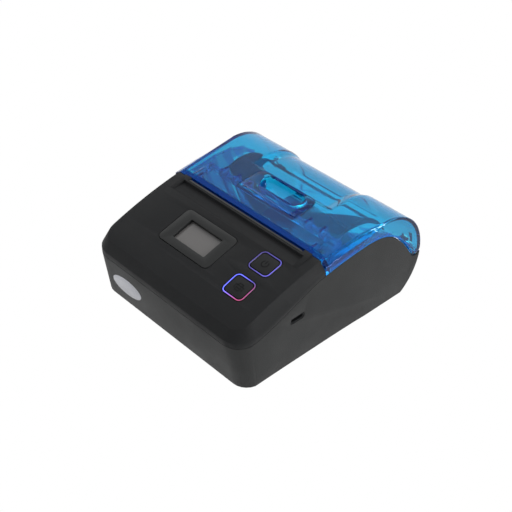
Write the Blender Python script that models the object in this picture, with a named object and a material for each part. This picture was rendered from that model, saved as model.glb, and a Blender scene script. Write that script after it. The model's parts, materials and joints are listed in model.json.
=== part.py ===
"""Portable receipt printer with a see-through hinged cover.

Lengths are in metres.  +X is the printer's right, +Y its back and +Z is up.
Places in the case are measured from the front of the seam, and the empty called
printer shifts them so that the origin is under the middle of the case.
"""

from math import acos, atan2, cos, hypot, pi, radians, sin, sqrt

import bmesh
import bpy
from mathutils import Matrix, Vector

# Case
case_width = 0.112
case_depth = 0.1276
wall = 0.0022
gap = 0.0003
overrun = 0.002
corner_radius = 0.011
base_corner_radius = 0.0085
front_lean = 0.0042
seam_front_z = 0.0269
lip_height = 0.0033
chamfer_run = 0.0036
chamfer_rise = 0.0053
panel_end_y = 0.0558
seam_end_z = 0.0434
seam_shares = ((0.0, 0.0), (0.12, 0.03), (0.26, 0.13), (0.46, 0.345), (0.7, 0.66), (0.88, 0.9), (1.0, 1.0))
top_power = 2.13

# Barrel at the back, the hinge in it and the edge that the cover closes on
barrel_radius = 0.0293
barrel_z = 0.0250
tab_radius = 0.0034
tab_angle = radians(0.0)
seat_gap = 0.0010
seat_angle = radians(200.0)
rim_peak_y = 0.086
rim_peak_z = 0.0468
rim_fall_power = 2.6
rim_rise_power = 1.5

# Undercut along the bottom of each side
arch_start_y = 0.0035
arch_end_y = 0.0872
arch_height = 0.0132
arch_inset = 0.0005
arch_height_shares = (0.0, 0.28, 0.52, 0.72, 0.88, 0.97, 1.0, 0.94, 0.74, 0.4, 0.0)

# Feet and case screws
foot_height = 0.0008
foot_radius = 0.0042
foot_recess = 0.0005
foot_side_x = 0.043
foot_front_y = 0.0125
foot_back_y = 0.099
screw_side_x = 0.0475
screw_front_y = 0.0235
screw_back_y = 0.0765
screw_boss_radius = 0.0040
screw_boss_height = 0.0125
screw_head_radius = 0.0022
screw_head_height = 0.0014
screw_shank_radius = 0.0011
screw_sink = 0.0035
screw_length = 0.0085

# Display window
display_y = 0.0299
display_x = -0.0073
display_width = 0.0382
display_length = 0.0233
display_corner = 0.0030
display_frame_thickness = 0.0014
glass_width = 0.0238
glass_length = 0.0133
glass_thickness = 0.0009
display_board_thickness = 0.0012
display_board_margin = 0.0035

# Keys with their light rings, and the board under them
key_x = 0.0329
power_key_y = 0.0382
feed_key_y = 0.0214
ring_width = 0.0146
ring_length = 0.0134
ring_corner = 0.0033
ring_band = 0.0009
ring_depth = 0.0026
ring_rise = 0.0002
key_rise = 0.0001
key_depth = 0.0040
key_travel = 0.0006
key_corner = 0.0022
switch_size = 0.0045
switch_height = 0.0016
switch_plunger_radius = 0.0012
switch_plunger_height = 0.0004
key_board_width = 0.017
key_board_length = 0.034
key_board_thickness = 0.0012
key_post_radius = 0.0013

# Paper exit
groove_half = 0.04435
groove_y = 0.0525
dip_start_y = 0.0455
dip_depth = 0.0008
hood_rise = 0.0010
hood_cheek_width = 0.0026
tear_bar_half = 0.0418
tear_bar_front_y = 0.0536
tear_bar_back_y = 0.0551
tear_bar_thickness = 0.0010
tear_tooth_pitch = 0.0014
tear_tooth_depth = 0.0006

# Print mechanism
platen_y = 0.0602
platen_z = 0.0450
platen_radius = 0.0041
platen_half_length = 0.0402
platen_core_radius = 0.0027
shaft_radius = 0.0015
bush_radius = 0.0031
bush_inner_x = 0.0411
bush_outer_x = 0.0454
running_gap = 0.0002
chassis_inner_x = 0.0436
chassis_thickness = 0.0016
chassis_front_y = 0.0492
chassis_back_y = 0.0663
chassis_top_z = 0.0466
tie_z = 0.0125
backing_thickness = 0.0012
backing_bottom_z = 0.0345
backing_top_z = 0.0462
head_thickness = 0.0013
head_half_length = 0.0412
head_bottom_z = 0.0362
head_top_z = 0.0470
heatsink_thickness = 0.0022
heatsink_fin_depth = 0.0010
heatsink_fins = 9
head_pivot_radius = 0.0011
head_pivot_z = 0.0378
leaf_thickness = 0.0003
leaf_width = 0.0100

# Gear train on the left
gear_module = 0.0005
platen_teeth = 16
idler_teeth = 24
pinion_teeth = 12
mesh_slack = 0.00016
gear_face = 0.0028
gear_inner_x = 0.0483
tooth_share = 0.40
tip_share = 0.19
addendum_share = 0.9
dedendum_share = 1.25
axle_radius = 0.0012
motor_radius = 0.0070
motor_length = 0.0150
motor_flange = 0.0010
motor_boss_radius = 0.0025

# Paper bucket
bucket_radius = 0.0215
bucket_wall = 0.0015
bucket_half = 0.0408
bucket_y = 0.0916
bucket_front_z = 0.0345
bucket_back_z = 0.0385
roller_guide_radius = 0.0013
sensor_width = 0.0062
sensor_length = 0.0040
sensor_height = 0.0022

# Main board, port and battery
board_z = 0.0246
board_thickness = 0.0016
board_half = 0.0505
board_front_y = 0.0098
board_back_y = 0.0478
board_post_radius = 0.0026
board_post_x = 0.0450
chip_size = 0.0100
chip_height = 0.0012
port_y = 0.0378
port_width = 0.0089
port_height = 0.0031
port_depth = 0.0072
port_shell = 0.00035
port_tongue_width = 0.0065
port_tongue_height = 0.0007
battery_half = 0.0312
battery_front_y = 0.0096
battery_back_y = 0.0462
battery_height = 0.0172
battery_corner = 0.0018
bay_wall = 0.0013
grip_width = 0.0220
grip_length = 0.0070
grip_depth = 0.0016
contact_width = 0.0180
contact_height = 0.0060

# Cover
cover_wall = 0.0018
cover_lip_depth = 0.0028
shoulder_end_y = 0.0985
valley_start_y = 0.0868
valley_top_half = 0.0300
valley_floor_half = 0.0240
valley_depth = 0.0015
valley_corner = 0.0042
wedge_end_y = 0.0760
arm_thickness = 0.0015
arm_reach = 0.0040
ear_radius = 0.0027
ear_inner_x = 0.0440
ear_thickness = 0.0032
lug_inner_x = 0.0485
lug_thickness = 0.0022
pin_radius = 0.0011
pin_end_x = 0.0539

# Latch lever in the cover
lever_half = 0.0205
lever_back_y = 0.0864
lever_axis_y = 0.0737
lever_axis_drop = 0.0048
lever_bar_radius = 0.0014
lever_bar_half = 0.0478
lever_corner = 0.0042
lever_front_share = 0.8
lever_neck_half = 0.0175
lever_neck_width = 0.0030
pocket_half = 0.0141
pocket_radius = 0.0046
pocket_center_y = 0.0811
pocket_depth = 0.0046
pocket_wall = 0.0012
hook_inner_x = 0.0457
hook_thickness = 0.0020
hook_drop = 0.0072
hook_width = 0.0026
carrier_inner_x = 0.0265
carrier_spacing = 0.0100
carrier_count = 2
carrier_thickness = 0.0016
carrier_radius = 0.0027
rib_radius = 0.0021
rib_width = 0.0012
rib_spacing = 0.0024
keeper_radius = 0.0010
keeper_z = 0.0415

# Facets of round forms
corner_steps = 6
side_steps = 12
arc_steps = 26
round_steps = 24
small_steps = 12

half_width = case_width / 2
base_z = foot_height
floor_z = base_z + wall
barrel_y = case_depth - barrel_radius
panel_front_z = seam_front_z + lip_height + chamfer_rise
hinge_y = barrel_y + (barrel_radius - tab_radius) * cos(tab_angle)
hinge_z = barrel_z + (barrel_radius - tab_radius) * sin(tab_angle)
seat_radius = tab_radius + seat_gap
cover_front_y = panel_end_y + gap
bucket_outer = bucket_radius + bucket_wall
bucket_z = floor_z + gap + bucket_outer
cover_height = barrel_z + barrel_radius
head_front_y = platen_y - platen_radius - gap
heatsink_front_y = head_front_y - head_thickness - gap
heatsink_back_y = heatsink_front_y - heatsink_thickness
backing_back_y = heatsink_back_y - heatsink_fin_depth - 2 * gap
port_z = board_z + board_thickness + gap / 2 + port_height / 2


def smooth_curve(shares, t):
    """Value at t of the smooth curve through the share points, in even steps of their own."""
    last = len(shares) - 1
    for i in range(last):
        if t <= shares[i + 1][0] or i == last - 1:
            break
    before = shares[max(i - 1, 0)]
    start = shares[i]
    end = shares[i + 1]
    after = shares[min(i + 2, last)]
    span = end[0] - start[0]
    rise_in = (end[1] - before[1]) / (end[0] - before[0]) * span
    rise_out = (after[1] - start[1]) / (after[0] - start[0]) * span
    u = (t - start[0]) / span
    value = start[1] * (2 * u**3 - 3 * u**2 + 1) + end[1] * (3 * u**2 - 2 * u**3)
    return value + rise_in * (u**3 - 2 * u**2 + u) + rise_out * (u**3 - u**2)


def top_line(y):
    """Height of the upper surface, from the panel's front edge to the top of the barrel."""
    t = min(max((y - chamfer_run) / (barrel_y - chamfer_run), 0.0), 1.0)
    return panel_front_z + (cover_height - panel_front_z) * (1 - (1 - t) ** top_power)


def top_slope(y):
    """Angle of the upper surface at y."""
    step = overrun
    return atan2(top_line(y + step) - top_line(y - step), 2 * step)


def seam_line(y):
    """Height of the seam between the lower and the upper case."""
    t = min(max(y / cover_front_y, 0.0), 1.0)
    return seam_front_z + (seam_end_z - seam_front_z) * smooth_curve(seam_shares, t)


def rim_line(y, end_y, end_z):
    """Height of the edge that the cover's sides close on, which falls to the given end."""
    if y < rim_peak_y:
        t = (rim_peak_y - y) / (rim_peak_y - cover_front_y)
        return rim_peak_z - (rim_peak_z - seam_end_z) * t**rim_rise_power
    t = min((y - rim_peak_y) / (end_y - rim_peak_y), 1.0)
    return rim_peak_z - (rim_peak_z - end_z) * t**rim_fall_power


def arc(center, radius, start, end, steps):
    """Points of an arc in the side view, from angle start to angle end."""
    turns = [start + (end - start) * i / steps for i in range(steps + 1)]
    return [(center[0] + radius * cos(a), center[1] + radius * sin(a)) for a in turns]


def spread(start, end, steps):
    """Even places from start to end, both included."""
    return [start + (end - start) * i / steps for i in range(steps + 1)]


def rim_points(radius, lift):
    """Edge line at the sides, from the cover's front to the round end at the hinge."""
    end_y = hinge_y + radius * cos(seat_angle)
    end_z = hinge_z + radius * sin(seat_angle)
    places = spread(cover_front_y, rim_peak_y, side_steps // 2)[:-1] + spread(rim_peak_y, end_y, side_steps)
    reach = end_y - cover_front_y
    return [(y, rim_line(y, end_y, end_z) + lift * (1 - ((y - cover_front_y) / reach) ** 2)) for y in places]


def rounded_rectangle(width, length, radius, steps):
    """Outline of a rectangle with round corners around the origin."""
    points = []
    for i, (sx, sy) in enumerate(((1, 1), (-1, 1), (-1, -1), (1, -1))):
        center = (sx * (width / 2 - radius), sy * (length / 2 - radius))
        points += arc(center, radius, i * pi / 2, (i + 1) * pi / 2, steps)
    return points


def circle(radius, steps, center=(0.0, 0.0)):
    """Outline of a circle."""
    return arc(center, radius, 0.0, 2 * pi * (steps - 1) / steps, steps - 1)


def material(name, color, roughness, metallic=0.0):
    """A plain Principled material, made once for each name."""
    found = bpy.data.materials.get(name)
    if found:
        return found
    made = bpy.data.materials.new(name)
    made.use_nodes = True
    shader = made.node_tree.nodes["Principled BSDF"]
    shader.inputs["Base Color"].default_value = (*color, 1.0)
    shader.inputs["Roughness"].default_value = roughness
    shader.inputs["Metallic"].default_value = metallic
    return made


def black_plastic():
    return material("black_plastic", (0.033, 0.034, 0.035), 0.48)


def dark_plastic():
    return material("dark_plastic", (0.020, 0.021, 0.023), 0.55)


def blue_plastic():
    return material("clear_blue_plastic", (0.02, 0.28, 0.62), 0.12)


def steel():
    return material("steel", (0.60, 0.60, 0.61), 0.32, 1.0)


def rubber():
    return material("black_rubber", (0.025, 0.025, 0.026), 0.85)


def white_plastic():
    return material("white_plastic", (0.72, 0.72, 0.70), 0.45)


def green_board():
    return material("circuit_board", (0.03, 0.20, 0.09), 0.50)


def make_object(name, form, look=None, origin=(0.0, 0.0, 0.0)):
    """Object from a bmesh given in case places, with its origin moved to the given place."""
    bmesh.ops.remove_doubles(form, verts=form.verts, dist=gap / 300)
    bmesh.ops.recalc_face_normals(form, faces=form.faces)
    bmesh.ops.translate(form, vec=-Vector(origin), verts=form.verts)
    mesh = bpy.data.meshes.new(name)
    form.to_mesh(mesh)
    form.free()
    mesh.shade_smooth()
    mesh.set_sharp_from_angle(angle=radians(28.0))
    made = bpy.data.objects.new(name, mesh)
    bpy.context.scene.collection.objects.link(made)
    made.parent = printer
    made.location = origin
    if look:
        mesh.materials.append(look)
    return made


def add_prism(form, outline, low, high, axis="X"):
    """Closed prism of an outline: along X the outline is (y, z), along Z it is (x, y)."""
    rings = []
    for level in (low, high):
        if axis == "X":
            rings.append([form.verts.new((level, u, v)) for u, v in outline])
        elif axis == "Y":
            rings.append([form.verts.new((u, level, v)) for u, v in outline])
        else:
            rings.append([form.verts.new((u, v, level)) for u, v in outline])
    count = len(outline)
    for i in range(count):
        j = (i + 1) % count
        form.faces.new((rings[0][i], rings[0][j], rings[1][j], rings[1][i]))
    form.faces.new(list(reversed(rings[0])))
    form.faces.new(rings[1])
    return rings


def prism(name, outline, low, high, axis="X", look=None, origin=(0.0, 0.0, 0.0)):
    form = bmesh.new()
    add_prism(form, outline, low, high, axis)
    return make_object(name, form, look, origin)


def box_outline(low, high):
    """Corners of an upright rectangle from its low to its high corner."""
    return [(low[0], low[1]), (high[0], low[1]), (high[0], high[1]), (low[0], high[1])]


def block(name, low, high, look=None, origin=(0.0, 0.0, 0.0)):
    """Box between two corners."""
    return prism(name, box_outline(low[1:], high[1:]), low[0], high[0], "X", look, origin)


def rod(name, center, radius, low, high, axis="X", steps=small_steps, look=None, origin=(0.0, 0.0, 0.0)):
    """Round bar: the center is (y, z) along X and (x, y) along Z."""
    return prism(name, circle(radius, steps, center), low, high, axis, look, origin)


def as_tool(tool):
    """Marks an object as a guide that only shapes others."""
    tool.hide_render = True
    tool.display_type = "WIRE"
    return tool


def combine(target, tool, operation):
    """Boolean of the target with a tool object."""
    as_tool(tool)
    step = target.modifiers.new(tool.name, "BOOLEAN")
    step.operation = operation
    step.object = tool
    step.solver = "EXACT"
    return target


def cut(target, tool):
    return combine(target, tool, "DIFFERENCE")


def join(target, tool):
    return combine(target, tool, "UNION")


def keep(target, tool):
    return combine(target, tool, "INTERSECT")


def plan_ring(inset, front_y, back_y, height, corner=corner_radius):
    """Ring of points around the case seen from above, from the back right to the back left."""
    half = half_width - inset
    radius = corner - inset
    side = [(half, y) for y in spread(back_y, front_y + radius, side_steps)[:-1]]
    right = side + arc((half - radius, front_y + radius), radius, 0.0, -pi / 2, corner_steps)
    left = [(-x, y) for x, y in reversed(right)]
    return [(x, y, height(y)) for x, y in right + left]


def ring_solid(name, rings, look=None):
    """Closed solid through rings from plan_ring, with caps in strips across the case."""
    form = bmesh.new()
    levels = [[form.verts.new(p) for p in ring] for ring in rings]
    count = len(rings[0])
    for lower, upper in zip(levels, levels[1:]):
        for i in range(count):
            j = (i + 1) % count
            form.faces.new((lower[i], lower[j], upper[j], upper[i]))
    for level in (levels[0], levels[-1]):
        for i in range(count // 2 - 1):
            form.faces.new((level[i], level[i + 1], level[count - 2 - i], level[count - 1 - i]))
    return make_object(name, form, look)


def leaning_plan(name, inset):
    """Upright solid with the plan outline of the lower case, whose front leans back below the seam."""
    back_y = case_depth + overrun
    low_z = base_z - overrun
    lean = front_lean * (seam_front_z - low_z) / (seam_front_z - base_z)
    rings = [
        plan_ring(inset, lean + inset, back_y, lambda y: low_z, base_corner_radius),
        plan_ring(inset, inset, back_y, lambda y: seam_front_z),
        plan_ring(inset, inset, back_y, lambda y: cover_height + overrun),
    ]
    return ring_solid(name, rings)


def circle_crossing(angle_from, radius_a, center_a, radius_b, center_b):
    """Angle around center_a where circle a crosses circle b, on the side of angle_from."""
    dy = center_b[0] - center_a[0]
    dz = center_b[1] - center_a[1]
    apart = hypot(dy, dz)
    share = (radius_a**2 + apart**2 - radius_b**2) / (2 * radius_a * apart)
    spread_angle = acos(share)
    direction = atan2(dz, dy)
    options = (direction + spread_angle, direction - spread_angle)
    return min(options, key=lambda a: abs((a - angle_from + pi) % (2 * pi) - pi))


def lower_side_outline():
    """Side view of the lower case with its hinge seat and barrel."""
    barrel = (barrel_y, barrel_z)
    hinge = (hinge_y, hinge_z)
    seam = [(y, seam_line(y)) for y in spread(-overrun, cover_front_y, side_steps)[:-1]]
    seat_end = circle_crossing(radians(-45.0), seat_radius, hinge, barrel_radius, barrel)
    seat = arc(hinge, seat_radius, seat_angle, 2 * pi + (seat_end % (2 * pi)) - 2 * pi, corner_steps)[1:]
    lip_angle = atan2(seat[-1][1] - barrel_z, seat[-1][0] - barrel_y)
    floor_angle = -pi / 2 + acos((barrel_z - base_z) / barrel_radius)
    barrel_arc = arc(barrel, barrel_radius, lip_angle, floor_angle, arc_steps // 2)[1:]
    return [(-overrun, base_z)] + seam + rim_points(seat_radius, 0.0) + seat + barrel_arc


def cavity_outline():
    """Side view of the space inside the lower case, open at the top, in front of the hinge seat."""
    inner = barrel_radius - wall
    seat_back = seat_radius + wall
    barrel = (barrel_y, barrel_z)
    hinge = (hinge_y, hinge_z)
    start = -pi / 2 + acos((barrel_z - floor_z) / inner)
    crossing = circle_crossing(radians(230.0), seat_back, hinge, inner, barrel)
    end = atan2(hinge_z + seat_back * sin(crossing) - barrel_z, hinge_y + seat_back * cos(crossing) - barrel_y)
    lower = arc(barrel, inner, start, end, arc_steps // 2)
    seat = arc(hinge, seat_back, crossing % (2 * pi), pi, corner_steps)[1:]
    top = cover_height + 2 * overrun
    return [(-overrun, floor_z)] + lower + seat + [(hinge_y - seat_back, top), (-overrun, top)]


def arch_tool(side):
    """Wedge that undercuts one side of the lower case along a low arch."""
    form = bmesh.new()
    count = len(arch_height_shares) - 1
    rows = []
    for i, share in enumerate(arch_height_shares):
        y = arch_start_y + (arch_end_y - arch_start_y) * i / count
        top = base_z + arch_height * share
        inset = arch_inset * sqrt(share)
        low = base_z - overrun
        rise = top - base_z
        steeper = inset * overrun / rise if rise > 0 else 0.0
        outer = half_width + overrun
        spots = ((half_width, top), (outer, top + overrun), (outer, low), (half_width - inset - steeper, low))
        rows.append([form.verts.new((side * x, y, z)) for x, z in spots])
    for first, second in zip(rows, rows[1:]):
        for i in range(4):
            j = (i + 1) % 4
            form.faces.new((first[i], first[j], second[j], second[i]))
    form.faces.new(rows[0])
    form.faces.new(list(reversed(rows[-1])))
    bmesh.ops.triangulate(form, faces=form.faces)
    return make_object(f"arch_tool_{side}", form)


def make_lower_case():
    """Lower housing: leaning front, arched sides, barrel back with the hinge seat, bay and posts."""
    outer_x = half_width + overrun
    body = prism("lower_case", lower_side_outline(), -outer_x, outer_x, "X", black_plastic())
    keep(body, leaning_plan("lower_plan", 0.0))
    cavity = prism("lower_cavity", cavity_outline(), -half_width + wall, half_width - wall)
    keep(cavity, leaning_plan("lower_cavity_plan", wall))
    cut(body, cavity)
    for side in (-1, 1):
        cut(body, arch_tool(side))
    bay_half = battery_half + gap
    bay_low_y = battery_front_y - gap
    bay_high_y = battery_back_y + gap
    bay_top = base_z + battery_height + gap
    low = (-bay_half - bay_wall, bay_low_y - bay_wall, base_z + wall / 2)
    high = (bay_half + bay_wall, bay_high_y + bay_wall, bay_top + bay_wall)
    join(body, block("bay_walls", low, high))
    for side in (-1, 1):
        for row, y in enumerate((board_front_y, board_back_y)):
            inward = y + (board_post_radius if row == 0 else -board_post_radius)
            center = (side * board_post_x, inward)
            join(body, rod(f"post_{side}_{row}", center, board_post_radius, base_z + wall / 2, board_z - gap, "Z"))
        for row, y in enumerate((screw_front_y, screw_back_y)):
            center = (side * screw_side_x, y)
            top = base_z + screw_boss_height
            join(body, rod(f"screw_boss_{side}_{row}", center, screw_boss_radius, base_z + wall / 2, top, "Z"))
        low_x = side * (ear_inner_x + ear_thickness / 2) - ear_thickness / 2
        join(body, ear_tool(f"hinge_ear_{side}", low_x))
    cut(body, block("bay_space", (-bay_half, bay_low_y, base_z - overrun), (bay_half, bay_high_y, bay_top)))
    contact_half = contact_width / 2 + gap
    low = (-contact_half, bay_high_y - overrun, bay_top - contact_height - overrun)
    high = (contact_half, bay_high_y + 2 * bay_wall, bay_top - overrun + 2 * gap)
    cut(body, block("contact_window", low, high))
    for side in (-1, 1):
        for row, y in enumerate((screw_front_y, screw_back_y)):
            center = (side * screw_side_x, y)
            sink_top = base_z + screw_sink + screw_head_height
            cut(body, rod(f"sink_{side}_{row}", center, screw_head_radius + gap, base_z - overrun, sink_top, "Z"))
            shank_top = base_z + screw_sink + screw_length + gap
            hole = screw_shank_radius + gap
            cut(body, rod(f"shank_hole_{side}_{row}", center, hole, base_z, shank_top, "Z"))
        for row, y in enumerate((foot_front_y, foot_back_y)):
            center = (side * foot_side_x, y)
            recess = foot_radius + gap
            top = base_z + foot_recess
            cut(body, rod(f"foot_recess_{side}_{row}", center, recess, base_z - overrun, top, "Z", round_steps))
        center = (hinge_y, hinge_z)
        low_x = side * (ear_inner_x + ear_thickness / 2) - ear_thickness / 2 - overrun
        high_x = low_x + ear_thickness + 2 * overrun
        cut(body, rod(f"pin_hole_{side}", center, pin_radius + running_gap, low_x, high_x))
    slot = rounded_rectangle(port_width + 2 * gap, port_height + 2 * gap, port_height / 2, corner_steps // 2)
    slot = [(port_y + u, port_z + v) for u, v in slot]
    cut(body, prism("port_slot", slot, half_width - 2 * wall, half_width + overrun))
    return body


def ear_tool(name, low_x):
    """Upright ear with a round top on the hinge line, standing in the seat behind the bucket."""
    foot_y = hinge_y - seat_radius - wall / 2
    foot_z = hinge_z - seat_radius - wall / 2
    top = arc((hinge_y, hinge_z), ear_radius, radians(-50.0), radians(150.0), small_steps // 2)
    outline = top + [(foot_y, hinge_z), (foot_y, foot_z), (hinge_y, foot_z)]
    return prism(name, outline, low_x, low_x + ear_thickness)


def panel_matrix(x, y, lift=0.0):
    """Place on the panel with its own Z square to the surface."""
    turn = Matrix.Rotation(top_slope(y), 4, "X")
    spot = Matrix.Translation((x, y, top_line(y)))
    return spot @ turn @ Matrix.Translation((0.0, 0.0, lift))


def on_panel(made, x, y, lift=0.0):
    """Puts an object that was modelled around its own origin onto the panel."""
    matrix = panel_matrix(x, y, lift)
    made.location = matrix.to_translation()
    made.rotation_euler = matrix.to_euler()
    return made


def panel_prism(name, outline, low, high, x, y, look=None):
    """Prism square to the panel, with the outline around the given place."""
    return on_panel(prism(name, outline, low, high, "Z", look), x, y)


def hood_outline(front_y, back_y, rise, depth):
    """Side view of a strip that stands on the panel's rear end."""
    places = spread(front_y, back_y, 3)
    upper = [(y, top_line(y) + rise) for y in places]
    lower = [(y, top_line(y) - depth) for y in reversed(places)]
    return upper + lower


def make_top_case():
    """Upper front housing: lip, sloped chamfer and panel, with the paper exit's dip and hood."""
    outer = [
        plan_ring(0.0, 0.0, panel_end_y, lambda y: seam_line(y) + gap),
        plan_ring(0.0, 0.0, panel_end_y, lambda y: seam_line(y) + lip_height),
        plan_ring(chamfer_run, chamfer_run, panel_end_y, top_line),
    ]
    body = ring_solid("top_case", outer, black_plastic())
    back_y = panel_end_y + overrun
    inner_run = chamfer_run + wall / 2
    inner = [
        plan_ring(wall, wall, back_y, lambda y: seam_line(y) - overrun),
        plan_ring(wall, wall, back_y, lambda y: seam_line(y) + lip_height - wall / 4),
        plan_ring(inner_run, inner_run, back_y, lambda y: top_line(y) - wall),
    ]
    dip = [(dip_start_y, top_line(dip_start_y) + gap / 3), (groove_y, top_line(groove_y) - dip_depth)]
    dip += [(groove_y, cover_height), (dip_start_y, cover_height)]
    cut(body, prism("exit_dip", dip, -groove_half, groove_half))
    hood = hood_outline(groove_y, panel_end_y, hood_rise, wall / 2)
    join(body, prism("exit_hood", hood, -groove_half - hood_cheek_width, groove_half + hood_cheek_width))
    for side in (-1, 1):
        cheek = [(dip_start_y, top_line(dip_start_y) - wall / 2), (dip_start_y, top_line(dip_start_y) + gap / 3)]
        cheek += [(groove_y, top_line(groove_y) + hood_rise)]
        cheek += [(groove_y + gap, top_line(groove_y) + hood_rise), (groove_y + gap, top_line(groove_y) - wall / 2)]
        low_x = min(side * groove_half, side * (groove_half + hood_cheek_width))
        join(body, prism(f"hood_cheek_{side}", cheek, low_x, low_x + hood_cheek_width))
    cut(body, ring_solid("top_cavity", inner))
    bar_half = tear_bar_half + gap
    bar_low = top_line(tear_bar_front_y) + hood_rise - tear_bar_thickness - gap
    low = (-bar_half, tear_bar_front_y - gap, bar_low)
    cut(body, block("tear_bar_seat", low, (bar_half, panel_end_y + overrun, cover_height)))
    low = (-bar_half, tear_bar_back_y - gap, bar_low - wall - overrun)
    cut(body, block("exit_slot", low, (bar_half, panel_end_y + overrun, cover_height)))
    window = rounded_rectangle(display_width, display_length, display_corner, corner_steps // 2)
    seat = -display_frame_thickness - gap
    cut(body, panel_prism("window_seat", window, seat, overrun, display_x, display_y))
    inner_width = glass_width + 2 * gap
    inner_length = glass_length + 2 * gap
    opening = rounded_rectangle(inner_width, inner_length, gap, 1)
    cut(body, panel_prism("window_hole", opening, -wall - overrun, overrun, display_x, display_y))
    for name, y in (("power", power_key_y), ("feed", feed_key_y)):
        hole = rounded_rectangle(ring_width, ring_length, ring_corner, corner_steps // 2)
        cut(body, panel_prism(f"{name}_hole", hole, -wall - overrun, overrun, key_x, y))
    for side in (-1, 1):
        x = key_x + side * key_board_width / 4
        foot = -key_board_drop() + gap
        post = circle(key_post_radius, small_steps)
        join(body, panel_prism(f"key_post_{side}", post, foot, -wall / 2, x, (power_key_y + feed_key_y) / 2))
    return body


def key_board_drop():
    """Depth of the key board's upper face under the panel, below both switches."""
    middle_y = (power_key_y + feed_key_y) / 2
    middle = panel_matrix(key_x, middle_y)
    depth = key_depth + key_travel + gap + switch_plunger_height + switch_height
    lowest = 0.0
    for y in (power_key_y, feed_key_y):
        for end in (-switch_size / 2, switch_size / 2):
            corner = panel_matrix(key_x, y, -depth) @ Vector((0.0, end, 0.0))
            lowest = min(lowest, (middle.inverted() @ corner).z)
    return gap - lowest


def make_display():
    """Satin window frame, the glass set back in it and the small board that carries it."""
    width = display_width - 2 * gap
    length = display_length - 2 * gap
    outline = rounded_rectangle(width, length, display_corner - gap, corner_steps // 2)
    frame_look = material("satin_window", (0.030, 0.031, 0.031), 0.36)
    frame = panel_prism("display_frame", outline, -display_frame_thickness, 0.0, display_x, display_y, frame_look)
    opening = rounded_rectangle(glass_width, glass_length, gap, 1)
    cut(frame, panel_prism("frame_opening", opening, -overrun * 2, overrun, display_x, display_y))
    glass_top = -display_frame_thickness - gap
    glass_low = glass_top - glass_thickness
    opening = rounded_rectangle(glass_width, glass_length, gap, 1)
    glass_look = material("display_glass", (0.17, 0.165, 0.16), 0.18)
    panel_prism("display_glass", opening, glass_low, glass_top, display_x, display_y, glass_look)
    board_width = glass_width + 2 * display_board_margin
    board_length = glass_length + 2 * display_board_margin
    outline = rounded_rectangle(board_width, board_length, gap, 1)
    top = glass_low - gap
    low = top - display_board_thickness
    panel_prism("display_board", outline, low, top, display_x, display_y, green_board())


def make_keys():
    """Two keys in their light rings over a slanted board with two switches."""
    ring_look = material("light_ring", (0.22, 0.20, 0.85), 0.30)
    key_look = material("key_plastic", (0.030, 0.031, 0.033), 0.42)
    plunger_top = -key_depth - key_travel - gap
    for name, y in (("power", power_key_y), ("feed", feed_key_y)):
        outer = rounded_rectangle(ring_width - 2 * gap, ring_length - 2 * gap, ring_corner - gap, corner_steps // 2)
        ring = panel_prism(f"{name}_light_ring", outer, -ring_depth, ring_rise, key_x, y, ring_look)
        inner_width = ring_width - 2 * gap - 2 * ring_band
        inner_length = ring_length - 2 * gap - 2 * ring_band
        inner = rounded_rectangle(inner_width, inner_length, key_corner, corner_steps // 2)
        cut(ring, panel_prism(f"{name}_ring_space", inner, -ring_depth - overrun, overrun, key_x, y))
        cap_width = inner_width - 2 * gap
        cap_length = inner_length - 2 * gap
        cap = rounded_rectangle(cap_width, cap_length, key_corner - gap, corner_steps // 2)
        form = bmesh.new()
        add_prism(form, cap, -key_depth, key_rise, "Z")
        top_edges = [e for e in form.edges if all(v.co.z > 0 for v in e.verts)]
        bmesh.ops.bevel(form, geom=top_edges, offset=gap, segments=2, affect="EDGES", profile=0.5)
        on_panel(make_object(f"{name}_key", form, key_look), key_x, y)
        base = plunger_top - switch_plunger_height - switch_height
        outline = rounded_rectangle(switch_size, switch_size, gap, 1)
        switch_top = plunger_top - switch_plunger_height
        switch = panel_prism(f"{name}_switch", outline, base, switch_top, key_x, y, white_plastic())
        plunger = circle(switch_plunger_radius, small_steps)
        join(switch, panel_prism(f"{name}_plunger", plunger, base + gap, plunger_top, key_x, y))
    middle_y = (power_key_y + feed_key_y) / 2
    outline = rounded_rectangle(key_board_width, key_board_length, gap, 1)
    top = -key_board_drop()
    panel_prism("key_board", outline, top - key_board_thickness, top, key_x, middle_y, green_board())


def make_tear_bar():
    """Toothed bar behind the hood, over the paper slot."""
    count = int(2 * tear_bar_half / tear_tooth_pitch)
    start = -count * tear_tooth_pitch / 2
    outline = [(-tear_bar_half, tear_bar_back_y - tear_tooth_depth), (-tear_bar_half, tear_bar_front_y)]
    outline += [(tear_bar_half, tear_bar_front_y), (tear_bar_half, tear_bar_back_y - tear_tooth_depth)]
    for i in reversed(range(count)):
        x = start + i * tear_tooth_pitch
        outline.append((x + tear_tooth_pitch, tear_bar_back_y - tear_tooth_depth))
        outline.append((x + tear_tooth_pitch / 2, tear_bar_back_y))
    outline.append((start, tear_bar_back_y - tear_tooth_depth))
    top = top_line(tear_bar_front_y) + hood_rise
    look = material("dark_steel", (0.045, 0.046, 0.048), 0.4, 1.0)
    return prism("tear_bar", outline, top - tear_bar_thickness, top, "Z", look)


def cover_top_points(drop):
    """Upper line of the cover from its front edge over the barrel, sunk by drop."""
    front = [(y, top_line(y) - drop) for y in spread(cover_front_y, barrel_y, side_steps)[:-1]]
    end = tab_angle
    return front + arc((barrel_y, barrel_z), barrel_radius - drop, pi / 2, end, arc_steps)


def cover_outline():
    """Side view of the cover: top line, barrel, round hinge tab and the edge along the sides."""
    tab = arc((hinge_y, hinge_z), tab_radius, tab_angle, seat_angle - 2 * pi, small_steps)[1:]
    edge = list(reversed(rim_points(tab_radius, gap)))[1:]
    return cover_top_points(0.0) + tab + edge


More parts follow.
